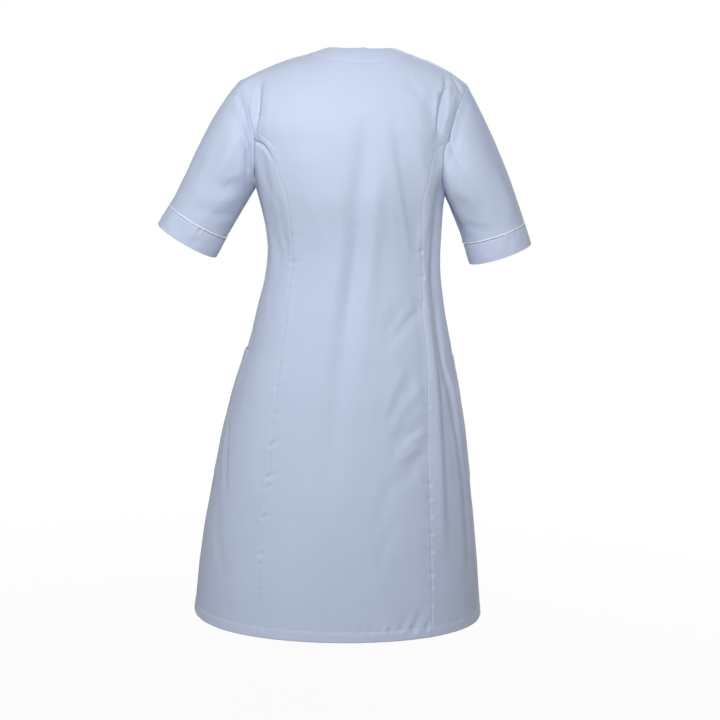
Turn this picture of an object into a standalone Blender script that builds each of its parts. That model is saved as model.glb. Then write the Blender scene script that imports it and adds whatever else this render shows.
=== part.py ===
"""Work blouse: a knee-length, short-sleeved tunic in thin cloth, filled out and open inside.

Metres, +Z up. The origin is midway between the shoulders at the height of the neck's top edge.
The front faces -Y and the wearer's left is +X. A drop is a distance below the origin.
Every panel is cut from one body surface, read by an angle about the body (0 at the wearer's left
side, 90 at the centre back, 270 at the centre front) and a level: a true height up to the yoke
line, and from there up the share of the way over the shoulder, with the shoulder seam at level 0.
"""
import math

import bmesh
import bpy
import numpy as np
from mathutils import Matrix, Vector

COLLECTION_NAME = "work_blouse"

# Cloth and seams
WALL = 0.002
SEAM_GAP = 0.0003
LAP_LIFT = WALL + SEAM_GAP

# Lengths down the garment
YOKE_DROP = 0.150
UNDERARM_DROP = 0.250
HEM_DROP = 1.012

# Shoulders and neck
SHOULDER_HALF = 0.200
BACK_HALF = 0.168
CHEST_HALF = 0.160
SHOULDER_TILT = 0.026
RIDGE_HANDLE = 0.50
RIDGE_SLOPE = 0.02
YOKE_HANDLE = 0.40
NECK_SHIFT = -0.013
SHOULDER_SHIFT = -0.002
NECK_SHARE = 0.475
BAND_SHARE = 0.300
NECK_DIP = 0.38
BAND_DIP = 0.18
NECK_ROUND = 0.60
NECKLINE_CURVE = 0.92

# Front closing
BAND_HALF = 0.017
V_ROW = 19
BUTTON_COUNT = 7
BUTTON_FIRST_DROP = 0.228
BUTTON_SPACING = 0.097
BUTTON_RADIUS = 0.0075
BUTTON_GAP = 0.0004
BUTTON_STEPS = 20

# The upper front's lift fades out towards the shoulder and away from its edge
LAP_FADE_START = 0.32
LAP_FADE_LENGTH = 0.40
LAP_FADE_WIDTH = 0.055

# Pockets, between two rows of the side fronts
POCKET_ROWS = (5, 10)
POCKET_BULGE = 0.0026
POCKET_EDGE_BULGE = 0.3

# Sleeve ends
CUFF_WIDTH = 0.040
CUFF_HALF_DEPTH = 0.052
PIPING_RADIUS = 0.0011
BACK_PUFF = 0.30

# Grid sizes
BODY_STEPS = 22
YOKE_STEPS = 8
WAIST_ROW = 15
STEP_POWER = 1.35
SIDE_STEPS = 6
BACK_COLUMNS = (0, 0.12, 0.24, 0.35, 0.43, NECK_SHARE, 0.60, 0.73, 0.86, 1.0)
FRONT_STEPS = 8
BAND_POINTS = 4
ARMHOLE_SAMPLES = 200
SLEEVE_STEPS = (0, 0.06, 0.12, 0.18, 0.26, 0.36, 0.48, 0.60, 0.72, 0.84, 0.93, 1.0)

# Steps over which the surface's slopes are read
SLOPE_RISE = 0.004
NORMAL_TURN = 0.004
NORMAL_RISE = 0.0015
FOLD_FADE = 0.6
FLUSH_COSINE = 0.6

SECTION_COLUMNS = ("drop", "half_width", "back_depth", "front_depth", "side_shift", "fullness")
SECTION_ROWS = (
    (0.150, 0.188, 0.112, 0.118, 0.004, 2.40),
    (0.200, 0.178, 0.114, 0.129, 0.001, 2.40),
    (0.250, 0.164, 0.112, 0.136, -0.002, 2.35),
    (0.300, 0.156, 0.103, 0.130, -0.008, 2.30),
    (0.345, 0.152, 0.097, 0.118, -0.011, 2.25),
    (0.400, 0.156, 0.098, 0.112, -0.011, 2.20),
    (0.460, 0.168, 0.105, 0.115, -0.010, 2.20),
    (0.520, 0.1825, 0.114, 0.122, -0.011, 2.15),
    (0.580, 0.1995, 0.123, 0.130, -0.0095, 2.15),
    (0.660, 0.218, 0.134, 0.140, -0.0075, 2.10),
    (0.760, 0.2355, 0.148, 0.153, -0.006, 2.10),
    (0.880, 0.2535, 0.164, 0.167, -0.0045, 2.10),
    (1.012, 0.2665, 0.181, 0.181, -0.006, 2.10),
)

# How far each princess seam lies from the middle, back and front
PRINCESS_COLUMNS = ("drop", "back_reach", "front_reach")
PRINCESS_ROWS = (
    (0.150, BACK_HALF, CHEST_HALF),
    (0.157, 0.157, 0.151),
    (0.166, 0.146, 0.143),
    (0.180, 0.138, 0.134),
    (0.200, 0.132, 0.122),
    (0.226, 0.1255, 0.112),
    (0.250, 0.118, 0.105),
    (0.300, 0.1145, 0.098),
    (0.345, 0.1125, 0.094),
    (0.400, 0.116, 0.096),
    (0.460, 0.120, 0.101),
    (0.520, 0.127, 0.106),
    (0.580, 0.132, 0.111),
    (0.660, 0.136, 0.116),
    (0.760, 0.143, 0.124),
    (0.880, 0.1505, 0.132),
    (1.012, 0.154, 0.138),
)

SIDE_SEAM_COLUMNS = ("drop", "angle")
SIDE_SEAM_ROWS = ((0.250, 0.0), (0.400, 3.0), (0.530, 6.0), (0.800, 7.0), (1.012, 7.0))

# The armhole below the yoke line, as a share of its angle on the yoke line
ARMHOLE_COLUMNS = ("drop", "share")
ARMHOLE_ROWS = ((0.150, 1.0), (0.175, 0.97), (0.200, 0.89), (0.225, 0.70), (0.240, 0.45),
                (0.247, 0.20), (0.250, 0.0))

# The shoulder ridge, level with the middle of the neck at reach 0
RIDGE_COLUMNS = ("reach", "drop")
RIDGE_ROWS = ((0.0, -0.0125), (0.060, -0.0035), (0.095, 0.0085), (0.120, 0.0160),
              (0.166, 0.0365), (0.200, 0.0560))

SLEEVE_COLUMNS = ("side", "cuff_x", "cuff_y", "cuff_drop", "out_angle", "swing",
                  "end_half", "cuff_half", "cap_puff", "underarm_puff")
SLEEVE_ROWS = (
    ("left", 0.2825, -0.012, 0.3385, 28.6, 6.0, 0.0570, 0.0590, 0.22, 0.0),
    ("right", -0.2755, -0.004, 0.3455, 20.8, 3.0, 0.0590, 0.0600, 0.18, 0.50),
)

# Largest folds of the body, each a straight run between two places; depth is in below zero
FOLD_COLUMNS = ("top_angle", "top_drop", "low_angle", "low_drop", "width", "depth")
FOLD_ROWS = (
    (102, 0.12, 90, 0.31, 0.016, -0.0035),
    (90, 0.29, 81, 0.50, 0.014, -0.0030),
    (81, 0.48, 75, 0.76, 0.016, -0.0022),
    (109, 0.18, 100, 0.52, 0.015, 0.0022),
    (129, 0.14, 146, 0.35, 0.012, -0.0030),
    (149, 0.43, 114, 0.51, 0.013, -0.0030),
    (134, 0.57, 120, 0.67, 0.014, -0.0022),
    (143, 0.66, 122, 0.75, 0.014, -0.0025),
    (161, 0.42, 157, 0.70, 0.016, -0.0032),
    (27, 0.03, 24, 0.125, 0.011, -0.0040),
    (150, 0.06, 152, 0.20, 0.011, -0.0045),
    (163, 0.16, 166, 0.24, 0.008, -0.0035),
    (18, 0.27, 30, 0.40, 0.014, -0.0025),
    (208, 0.15, 222, 0.33, 0.014, -0.0035),
    (332, 0.15, 318, 0.33, 0.014, -0.0035),
    (250, 0.30, 240, 0.52, 0.016, -0.0028),
    (291, 0.31, 300, 0.55, 0.016, -0.0028),
    (228, 0.58, 224, 0.86, 0.020, -0.0028),
    (312, 0.60, 316, 0.88, 0.020, -0.0028),
)

# Largest folds of the sleeves, placed by turn (90 at the back, 180 on top) and share of length
SLEEVE_FOLD_COLUMNS = ("side", "from_turn", "from_share", "to_turn", "to_share", "width", "depth")
SLEEVE_FOLD_ROWS = (
    ("left", 130, 0.10, 55, 0.16, 0.010, -0.0045),
    ("left", 80, 0.40, 120, 0.75, 0.016, -0.0025),
    ("left", 285, 0.08, 235, 0.20, 0.012, -0.0035),
    ("right", 150, 0.08, 70, 0.13, 0.009, -0.0040),
    ("right", 100, 0.35, 75, 0.80, 0.016, -0.0025),
    ("right", 290, 0.08, 240, 0.22, 0.012, -0.0035),
)

# A button's outline, from its middle in front, over the rim, to its middle behind
BUTTON_COLUMNS = ("radius", "height")
BUTTON_ROWS = ((0, 0.0019), (0.0042, 0.0019), (0.0056, 0.0028), (0.0068, 0.0027),
               (BUTTON_RADIUS, 0.0019), (0.0071, 0.0006), (0.0058, 0), (0, 0))

CLOTH = (0.50, 0.60, 0.80)
CLOTH_ROUGHNESS = 0.75
TRIM = (0.86, 0.88, 0.90)
TRIM_ROUGHNESS = 0.6
BUTTON = (0.72, 0.78, 0.86)
BUTTON_ROUGHNESS = 0.3


def table(columns, rows):
    """Each named column of a table as an array."""
    return {name: np.array([row[i] for row in rows]) for i, name in enumerate(columns)}


SECTION = table(SECTION_COLUMNS, SECTION_ROWS)
PRINCESS = table(PRINCESS_COLUMNS, PRINCESS_ROWS)
SIDE_SEAM = table(SIDE_SEAM_COLUMNS, SIDE_SEAM_ROWS)
ARMHOLE = table(ARMHOLE_COLUMNS, ARMHOLE_ROWS)
RIDGE = table(RIDGE_COLUMNS, RIDGE_ROWS)


def smooth_curve(knots, values, at):
    """A smooth curve through a table's rows, held at its ends."""
    slopes = np.gradient(values, knots)
    at = np.clip(at, knots[0], knots[-1])
    i = np.clip(np.searchsorted(knots, at, side="right") - 1, 0, len(knots) - 2)
    span = knots[i + 1] - knots[i]
    t = (at - knots[i]) / span
    return ((1 + 2 * t) * (1 - t) ** 2 * values[i] + t * (1 - t) ** 2 * span * slopes[i]
            + t * t * (3 - 2 * t) * values[i + 1] + t * t * (t - 1) * span * slopes[i + 1])


def smooth_step(share):
    share = np.clip(share, 0, 1)
    return share * share * (3 - 2 * share)


def section(level):
    drop = np.maximum(-level, YOKE_DROP)
    return {name: smooth_curve(SECTION["drop"], SECTION[name], drop)
            for name in SECTION_COLUMNS[1:]}


def angle_at(reach, level, facing):
    """Angle of the point that lies this far to the wearer's left, on the back (1) or front (-1)."""
    row = section(level)
    depth = row["back_depth"] if facing > 0 else row["front_depth"]
    share = np.minimum(np.abs(reach) / row["half_width"], 1)
    away = depth * (1 - share ** row["fullness"]) ** (1 / row["fullness"])
    return np.arctan2(facing * away, reach) % math.tau


def body_at(angle, level):
    """The body surface below the yoke line, as sections that are rounder than an ellipse."""
    row = section(level)
    depth = np.where(np.sin(angle) >= 0, row["back_depth"], row["front_depth"])
    power = row["fullness"]
    radius = (np.abs(np.cos(angle) / row["half_width"]) ** power
              + np.abs(np.sin(angle) / depth) ** power) ** (-1 / power)
    return np.stack([row["side_shift"] + radius * np.cos(angle), radius * np.sin(angle),
                     np.minimum(level, -YOKE_DROP)], axis=-1)


def ridge_point(share):
    """A point on the shoulder ridge, by its share of the way from neck centre to shoulder tip."""
    reach = share * SHOULDER_HALF
    x = reach + SHOULDER_SHIFT + NECK_SHIFT * (1 - share ** 2)
    z = -smooth_curve(RIDGE["reach"], RIDGE["drop"], np.abs(reach)) - SHOULDER_TILT * x
    return np.stack([x, 0 * x, z], axis=-1)


def plain_cloth(angle, level):
    """The whole body surface without folds."""
    angle, level = np.broadcast_arrays(np.asarray(angle, float), np.asarray(level, float))
    low = body_at(angle, level)
    yoke_level = np.full_like(level, -YOKE_DROP)
    start = body_at(angle, yoke_level)
    slope = (start - body_at(angle, yoke_level - SLOPE_RISE)) / SLOPE_RISE
    facing = np.where(np.sin(angle) >= 0, 1.0, -1.0)
    half = np.where(facing > 0, BACK_HALF, CHEST_HALF)
    share = (start[..., 0] - section(yoke_level)["side_shift"]) / half
    end = ridge_point(share)
    height = (end[..., 2] - start[..., 2])[..., None]
    first = start + slope * height * YOKE_HANDLE
    handle = RIDGE_HANDLE * np.abs(start[..., 1])
    zero = np.zeros_like(handle)
    second = end + np.stack([zero, facing * handle, -RIDGE_SLOPE * handle], axis=-1)
    t = np.clip(1 + level / YOKE_DROP, 0, 1)[..., None]
    high = ((1 - t) ** 3 * start + 3 * t * (1 - t) ** 2 * first
            + 3 * t * t * (1 - t) * second + t ** 3 * end)
    return np.where(t > 0, high, low)


def surface_normal(surface, angle, level):
    """Outward direction of a surface, from its slopes around and up the body."""
    around = surface(angle + NORMAL_TURN, level) - surface(angle - NORMAL_TURN, level)
    top = np.minimum(level + NORMAL_RISE, 0)
    up = surface(angle, top) - surface(angle, level - NORMAL_RISE)
    normal = np.cross(around, up)
    return normal / np.linalg.norm(normal, axis=-1, keepdims=True)


def run_depth(at, start, end, scale, width, depth):
    """Height of one fold: a soft trough or ridge along a straight run, fading at both ends."""
    run = [(end[k] - start[k]) * scale[k] for k in (0, 1)]
    here = [(at[k] - start[k]) * scale[k] for k in (0, 1)]
    length_squared = run[0] ** 2 + run[1] ** 2
    along = (here[0] * run[0] + here[1] * run[1]) / length_squared
    across = (here[0] * run[1] - here[1] * run[0]) / math.sqrt(length_squared)
    fade = np.clip(4 * along * (1 - along), 0, 1) ** FOLD_FADE
    return depth * fade * np.exp(-(across / width) ** 2)


def fold_height(angle, level):
    total = np.zeros(np.broadcast(angle, level).shape)
    angle = np.degrees(angle) % 360
    for row in FOLD_ROWS:
        fold = dict(zip(FOLD_COLUMNS, row))
        middle = -0.5 * (fold["top_drop"] + fold["low_drop"])
        near = body_at(math.radians(fold["top_angle"]), np.array(middle))
        radius = math.hypot(near[0], near[1])
        total += run_depth((angle, -level), (fold["top_angle"], fold["top_drop"]),
                           (fold["low_angle"], fold["low_drop"]), (math.radians(radius), 1.0),
                           fold["width"], fold["depth"])
    return total


def folded_cloth(angle, level):
    angle, level = np.broadcast_arrays(np.asarray(angle, float), np.asarray(level, float))
    height = fold_height(angle, level)
    return plain_cloth(angle, level) + surface_normal(plain_cloth, angle, level) * height[..., None]


def cloth(angle, level, lift=0.0):
    """Points and outward directions of the folded body surface, moved out by a lift."""
    angle, level = np.broadcast_arrays(np.asarray(angle, float), np.asarray(level, float))
    normals = surface_normal(folded_cloth, angle, level)
    lift = np.broadcast_to(np.asarray(lift, float), level.shape)[..., None]
    return folded_cloth(angle, level) + normals * lift, normals


def mirrored(angle, side):
    """The same place on the wearer's right, for side -1."""
    return angle if side > 0 else (math.pi - angle) % math.tau


def princess_reach(level, facing):
    name = "back_reach" if facing > 0 else "front_reach"
    return smooth_curve(PRINCESS["drop"], PRINCESS[name], -level)


def princess_angle(level, facing):
    """Angle of the wearer's left princess seam, signed about the left side."""
    level = np.minimum(level, -YOKE_DROP)
    angle = angle_at(princess_reach(level, facing), level, facing)
    return np.where(angle > math.pi, angle - math.tau, angle)


def side_seam_angle(level):
    return np.radians(smooth_curve(SIDE_SEAM["drop"], SIDE_SEAM["angle"], -level))


def body_levels():
    """Row heights from the hem to the yoke line, closer together near the top."""
    share = 1 - (1 - np.arange(BODY_STEPS + 1) / BODY_STEPS) ** STEP_POWER
    return -HEM_DROP + (HEM_DROP - YOKE_DROP) * share


BODY_LEVELS = body_levels()
YOKE_LEVELS = -YOKE_DROP * (1 - np.arange(1, YOKE_STEPS + 1) / YOKE_STEPS)
V_LEVEL = BODY_LEVELS[V_ROW]


def fitted_levels(top):
    """The same rows, level up to the waist and squeezed above it to end at a column's top."""
    waist = BODY_LEVELS[WAIST_ROW]
    squeeze = (top - waist) / (BODY_LEVELS[-1] - waist)
    return np.where(BODY_LEVELS < waist, BODY_LEVELS, waist + (BODY_LEVELS - waist) * squeeze)


def armhole_level(shares, facing):
    """Heights where columns at these shares of a side panel meet the armhole."""
    level = -np.linspace(UNDERARM_DROP, YOKE_DROP, ARMHOLE_SAMPLES)
    top = princess_angle(np.array(-YOKE_DROP), facing)
    edge = top * smooth_curve(ARMHOLE["drop"], ARMHOLE["share"], -level)
    seam = side_seam_angle(level)
    column = (edge - seam) / (princess_angle(level, facing) - seam)
    return np.interp(shares, column, level)


def inset_rows(points, gaps):
    """Moves the first and last row of a grid in along the surface, square to the edge."""
    moved = np.zeros_like(points)
    for edge, inner, gap in ((0, 1, gaps[0]), (-1, -2, gaps[1])):
        along = np.gradient(points[edge], axis=0)
        along /= np.linalg.norm(along, axis=-1, keepdims=True)
        inward = points[inner] - points[edge]
        inward -= along * np.sum(inward * along, axis=-1, keepdims=True)
        moved[edge] += gap * inward / np.linalg.norm(inward, axis=-1, keepdims=True)
    return moved


def inset(points, row_gaps, column_gaps):
    """Keeps half a seam gap at the sewn edges of a grid."""
    shift = inset_rows(points, row_gaps)
    shift += inset_rows(points.swapaxes(0, 1), column_gaps).swapaxes(0, 1)
    return points + shift


def material(name, colour, roughness):
    made = bpy.data.materials.new(name + "_finish")
    made.use_nodes = True
    shader = made.node_tree.nodes["Principled BSDF"]
    shader.inputs["Base Color"].default_value = (*colour, 1)
    shader.inputs["Roughness"].default_value = roughness
    shader.inputs["Metallic"].default_value = 0.0
    return made


def place_object(name, mesh, collection, parent, colour=CLOTH, roughness=CLOTH_ROUGHNESS):
    mesh.materials.append(material(name, colour, roughness))
    made = bpy.data.objects.new(name, mesh)
    made.parent = parent
    collection.objects.link(made)
    return made


def wall_mesh(name, outer, inner, ring=False):
    """A closed wall between two grids of the same size, joined all round their edges."""
    rows, columns = outer.shape[:2]
    shape = bmesh.new()
    layers = [[[shape.verts.new(point) for point in row] for row in grid]
              for grid in (outer, inner)]
    across = range(columns if ring else columns - 1)
    for i in range(rows - 1):
        for j in across:
            k = (j + 1) % columns
            for layer in layers:
                shape.faces.new((layer[i][j], layer[i][k], layer[i + 1][k], layer[i + 1][j]))
    out, back = layers
    for i in (0, rows - 1):
        for j in across:
            k = (j + 1) % columns
            shape.faces.new((out[i][j], out[i][k], back[i][k], back[i][j]))
    if not ring:
        for j in (0, columns - 1):
            for i in range(rows - 1):
                shape.faces.new((out[i][j], out[i + 1][j], back[i + 1][j], back[i][j]))
    bmesh.ops.recalc_face_normals(shape, faces=shape.faces)
    mesh = bpy.data.meshes.new(name)
    shape.to_mesh(mesh)
    shape.free()
    mesh.shade_smooth()
    mesh.set_sharp_from_angle(angle=math.radians(50))
    return mesh


def panel_grids(angle, level, lift=0.0, row_gaps=(0, 0), column_gaps=(0, 0)):
    """Outer and inner grids of a panel cut from the body surface."""
    points, normals = cloth(angle, level, lift)
    outer = inset(points, row_gaps, column_gaps)
    return outer, outer - normals * WALL


def back_center_grid():
    """Angles and levels of the back, from hem to shoulder seams and neckline."""
    half = np.array(BACK_COLUMNS)
    share = np.concatenate([half[:0:-1], -half])
    low = np.repeat(BODY_LEVELS[:, None], len(share), axis=1)
    inside = np.clip(1 - (share / NECK_SHARE) ** 2, 0, 1)
    top = 1 - NECK_DIP * inside ** NECK_ROUND
    steps = np.arange(1, YOKE_STEPS + 1)[:, None] / YOKE_STEPS
    high = -YOKE_DROP * (1 - steps * top)
    level = np.concatenate([low, high])
    reach = share * princess_reach(np.minimum(level, -YOKE_DROP), 1)
    return angle_at(reach, np.minimum(level, -YOKE_DROP), 1), level


def side_panel_grid(side, facing):
    """Angles and levels of a panel between a side seam and a princess seam."""
    share = np.linspace(0, 1, SIDE_STEPS + 1)
    top = armhole_level(share, facing)
    level = np.stack([fitted_levels(each) for each in top], axis=1)
    seam = side_seam_angle(level)
    angle = seam + share * (princess_angle(level, facing) - seam)
    if (side > 0) == (facing < 0):
        angle, level = angle[:, ::-1], level[:, ::-1]
    return mirrored(angle, side), level


def front_levels():
    return np.concatenate([BODY_LEVELS, YOKE_LEVELS])


def neckline_share(level):
    """How far a level is up the front neckline, from its point to the shoulder."""
    return np.clip((level - V_LEVEL) / -V_LEVEL, 0, 1)


def front_edge_reach(level):
    """Distance of a front panel's inner edge from the middle: band seam, then neckline."""
    rise = neckline_share(level) ** NECKLINE_CURVE
    return BAND_HALF + (NECK_SHARE * CHEST_HALF - BAND_HALF) * rise


def band_inner_reach(level):
    """Free edge of the neckband, crossing the middle near its point."""
    rise = neckline_share(level) ** NECKLINE_CURVE
    return -BAND_HALF + (BAND_SHARE * CHEST_HALF + BAND_HALF) * rise


def lap_lift(level):
    """How far the wearer's right front stands off, where it laps over the left one."""
    return LAP_LIFT * (1 - smooth_step((neckline_share(level) - LAP_FADE_START) / LAP_FADE_LENGTH))


def front_grid(side):
    """Angles, levels and lifts of a front, from hem to shoulder seam."""
    level = front_levels()[:, None]
    share = np.linspace(0, 1, FRONT_STEPS + 1)
    inner = front_edge_reach(level)
    outer = princess_reach(np.minimum(level, -YOKE_DROP), -1)
    reach = inner + (outer - inner) * share
    fade = 1 - smooth_step((reach - inner) / LAP_FADE_WIDTH)
    lift = lap_lift(level) * fade if side < 0 else 0 * reach
    low = np.minimum(level, -YOKE_DROP)
    angle = angle_at(side * reach, low, -1)
    return angle, level + 0 * reach, lift


def band_grid(side):
    """The front half of the neckband and the strip below it share their rows with a front."""
    level = front_levels()[:, None]
    across = np.linspace(0, 1, BAND_POINTS)
    inner, outer = band_inner_reach(level), front_edge_reach(level)
    reach = outer + (inner - outer) * across
    lift = lap_lift(level) + 0 * reach if side < 0 else 0 * reach
    return angle_at(side * reach, np.minimum(level, -YOKE_DROP), -1), level + 0 * reach, lift


def neckband_grids():
    """The neckband from its front left end, round the back of the neck, to its right end."""
    left, left_level, left_lift = (grid[V_ROW:] for grid in band_grid(1))
    right, right_level, right_lift = (grid[V_ROW:][::-1] for grid in band_grid(-1))
    half = np.array([share for share in BACK_COLUMNS if share <= NECK_SHARE])
    place = (np.concatenate([half[:0:-1], -half]) / NECK_SHARE)[1:-1, None]
    across = np.linspace(0, 1, BAND_POINTS)
    share = place * (NECK_SHARE + (BAND_SHARE - NECK_SHARE) * across)
    dip = NECK_DIP + (BAND_DIP - NECK_DIP) * across
    level = -YOKE_DROP * dip * (1 - place ** 2) ** NECK_ROUND
    back = angle_at(share * BACK_HALF, np.full_like(level, -YOKE_DROP), 1)
    angle = np.concatenate([left, back, right])
    level = np.concatenate([left_level, level, right_level])
    lift = np.concatenate([left_lift, 0 * back, right_lift])
    half_gap = SEAM_GAP / 2
    return panel_grids(angle, level, lift, (half_gap, half_gap), (half_gap, 0))


def sleeve_frame(row):
    """Axis, outward and backward directions of a sleeve's end, and its two ring centres."""
    out = math.copysign(math.radians(row["out_angle"]), row["cuff_x"])
    swing = math.radians(row["swing"])
    axis = np.array([math.sin(out) * math.cos(swing), -math.sin(swing),
                     -math.cos(out) * math.cos(swing)])
    outward = np.array([math.cos(out), 0, math.sin(out)]) * math.copysign(1, row["cuff_x"])
    backward = np.cross(axis, outward) * math.copysign(1, row["cuff_x"])
    backward *= math.copysign(1, backward[1])
    bottom = np.array([row["cuff_x"], row["cuff_y"], -row["cuff_drop"]])
    return axis, outward, backward, bottom - axis * CUFF_WIDTH, bottom


def armhole_loop(side):
    """The armhole's edge from the underarm up the back to the shoulder tip and down the front."""
    share = np.linspace(0, 1, SIDE_STEPS + 1)
    parts = []
    for facing in (1, -1):
        level = armhole_level(share, facing)
        seam = side_seam_angle(level)
        low = seam + share * (princess_angle(level, facing) - seam)
        high = np.full(YOKE_STEPS, princess_angle(np.array(-YOKE_DROP), facing))
        angle = np.concatenate([low, high])
        level = np.concatenate([level, YOKE_LEVELS])
        parts.append((angle, level))
    (back, back_level), (front, front_level) = parts
    angle = np.concatenate([back, front[-2:0:-1]])
    level = np.concatenate([back_level, front_level[-2:0:-1]])
    tip = len(back) - 1
    points, normals = cloth(mirrored(angle, side), level)
    return points, normals, tip


def loop_turn(points, tip):
    """Turn of each point of the armhole loop: 0 at the underarm, a half turn at the tip."""
    closed = np.concatenate([points, points[:1]])
    run = np.concatenate([[0], np.cumsum(np.linalg.norm(np.diff(closed, axis=0), axis=1))])
    back = math.pi * run[:tip + 1] / run[tip]
    front = math.pi + math.pi * (run[tip + 1:-1] - run[tip]) / (run[-1] - run[tip])
    return np.concatenate([back, front])


def ring(center, outward, backward, half, turn):
    return (center - outward * half * np.cos(turn)[:, None]
            + backward * CUFF_HALF_DEPTH * np.sin(turn)[:, None])


def ring_normals(points, flip):
    """Outward directions of a grid of rings, from its own slopes."""
    around = np.roll(points, -1, axis=1) - np.roll(points, 1, axis=1)
    normal = np.cross(np.gradient(points, axis=0), around) * flip
    return normal / np.linalg.norm(normal, axis=-1, keepdims=True)


def sleeve_grids(row):
    """Outer and inner grids of a sleeve, from the armhole to the cuff seam."""
    side = 1 if row["side"] == "left" else -1
    axis, outward, backward, center, _ = sleeve_frame(row)
    start, body_normals, tip = armhole_loop(side)
    turn = loop_turn(start, tip)
    end = ring(center, outward, backward, row["end_half"], turn)
    length = np.linalg.norm(end - start, axis=1, keepdims=True)
    puff = (row["cap_puff"] * (0.5 - 0.5 * np.cos(turn))
            + row["underarm_puff"] * np.clip(np.cos(turn), 0, 1) ** 2
            + BACK_PUFF * np.sin(turn) ** 2)[:, None]
    away = backward * np.sin(turn)[:, None] - outward * np.cos(turn)[:, None]
    leave = (axis + puff * away) * length
    arrive = axis * length
    t = np.array(SLEEVE_STEPS)[:, None, None]
    points = ((1 + 2 * t) * (1 - t) ** 2 * start + t * (1 - t) ** 2 * leave
              + t * t * (3 - 2 * t) * end + t * t * (t - 1) * arrive)
    normals = ring_normals(points, -side)
    points = points + normals * sleeve_folds(row["side"], turn, length)[..., None]
    normals = ring_normals(points, -side)
    out_of_body = np.sum((points[1] - points[0]) * body_normals, axis=-1)
    flush = np.sum(normals[0] * body_normals, axis=-1) > FLUSH_COSINE
    flush &= out_of_body < 0
    normals[0] = np.where(flush[:, None], body_normals, normals[0])
    points = points + ring_inset(points, (SEAM_GAP / 2, SEAM_GAP / 2))
    return points, points - normals * WALL


def ring_inset(points, gaps):
    """Moves the first and last ring along the tube."""
    shift = np.zeros_like(points)
    for edge, inner, gap in ((0, 1, gaps[0]), (-1, -2, gaps[1])):
        inward = points[inner] - points[edge]
        shift[edge] = gap * inward / np.linalg.norm(inward, axis=-1, keepdims=True)
    return shift


def sleeve_folds(side, turn, length):
    share = np.array(SLEEVE_STEPS)[:, None]
    turn = np.degrees(turn)[None, :]
    total = np.zeros((share.shape[0], turn.shape[1]))
    for row in SLEEVE_FOLD_ROWS:
        fold = dict(zip(SLEEVE_FOLD_COLUMNS, row))
        if fold["side"] != side:
            continue
        total += run_depth((turn, share), (fold["from_turn"], fold["from_share"]),
                           (fold["to_turn"], fold["to_share"]),
                           (math.radians(CUFF_HALF_DEPTH), float(length.mean())),
                           fold["width"], fold["depth"])
    return total


def cuff_rings(row):
    """Outer points and normals of a cuff, from its seam to its free edge."""
    side = 1 if row["side"] == "left" else -1
    axis, outward, backward, top, bottom = sleeve_frame(row)
    start, _, tip = armhole_loop(side)
    turn = loop_turn(start, tip)
    rings = []
    for share in (0, 0.5, 1):
        center = top + (bottom - top) * share
        half = row["end_half"] + (row["cuff_half"] - row["end_half"]) * share
        rings.append(ring(center, outward, backward, half, turn))
    points = np.array(rings)
    return points, ring_normals(points, -side)


def make_sleeves(collection, parent):
    for values in SLEEVE_ROWS:
        row = dict(zip(SLEEVE_COLUMNS, values))
        name = row["side"]
        outer, inner = sleeve_grids(row)
        mesh = wall_mesh("sleeve_" + name, outer, inner, ring=True)
        place_object("sleeve_" + name, mesh, collection, parent)
        points, normals = cuff_rings(row)
        seam = points[0] + normals[0] * (PIPING_RADIUS + SEAM_GAP)
        points = points + ring_inset(points, (SEAM_GAP / 2, 0))
        mesh = wall_mesh("cuff_" + name, points, points - normals * WALL, ring=True)
        place_object("cuff_" + name, mesh, collection, parent)
        make_piping("cuff_piping_" + name, seam, collection, parent)


def make_piping(name, points, collection, parent):
    """A thin round cord sewn into the cuff seam, standing on it."""
    curve = bpy.data.curves.new(name, "CURVE")
    curve.dimensions = "3D"
    curve.bevel_depth = PIPING_RADIUS
    curve.bevel_resolution = 1
    line = curve.splines.new("POLY")
    line.points.add(len(points) - 1)
    for point, place in zip(line.points, points):
        point.co = (*place, 1)
    line.use_cyclic_u = True
    place_object(name, curve, collection, parent, TRIM, TRIM_ROUGHNESS)


def make_body(collection, parent):
    half_gap = SEAM_GAP / 2
    sewn = (half_gap, half_gap)
    angle, level = back_center_grid()
    mesh = wall_mesh("back_center", *panel_grids(angle, level, 0.0, (0, half_gap), sewn))
    place_object("back_center", mesh, collection, parent)
    for side, word in ((1, "left"), (-1, "right")):
        for facing, kind in ((1, "side_back_"), (-1, "side_front_")):
            angle, level = side_panel_grid(side, facing)
            mesh = wall_mesh(kind + word, *panel_grids(angle, level, 0.0, (0, half_gap), sewn))
            place_object(kind + word, mesh, collection, parent)
        angle, level, lift = front_grid(side)
        mesh = wall_mesh("front_" + word, *panel_grids(angle, level, lift, (0, half_gap), sewn))
        place_object("front_" + word, mesh, collection, parent)
        angle, level, lift = (grid[:V_ROW + 1] for grid in band_grid(side))
        grids = panel_grids(angle, level, lift, (0, half_gap), (half_gap, 0))
        mesh = wall_mesh("placket_" + word, *grids)
        place_object("placket_" + word, mesh, collection, parent)
    mesh = wall_mesh("neckband", *neckband_grids())
    place_object("neckband", mesh, collection, parent)


def make_pockets(collection, parent):
    """Patch pockets on the side fronts, sewn in at the side and princess seams."""
    low, high = POCKET_ROWS
    height = np.linspace(0, 1, high - low + 1)[:, None]
    share = np.linspace(0, 1, SIDE_STEPS + 1)
    swell = POCKET_EDGE_BULGE + (1 - POCKET_EDGE_BULGE) * np.sin(math.pi * share)
    bulge = POCKET_BULGE * swell * smooth_step(height)
    half_gap = SEAM_GAP / 2
    for side, word in ((1, "left"), (-1, "right")):
        angle, level = (grid[low:high + 1] for grid in side_panel_grid(side, -1))
        grids = panel_grids(angle, level, LAP_LIFT + bulge, (0, 0), (half_gap, half_gap))
        mesh = wall_mesh("pocket_" + word, *grids)
        place_object("pocket_" + word, mesh, collection, parent)


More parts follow.
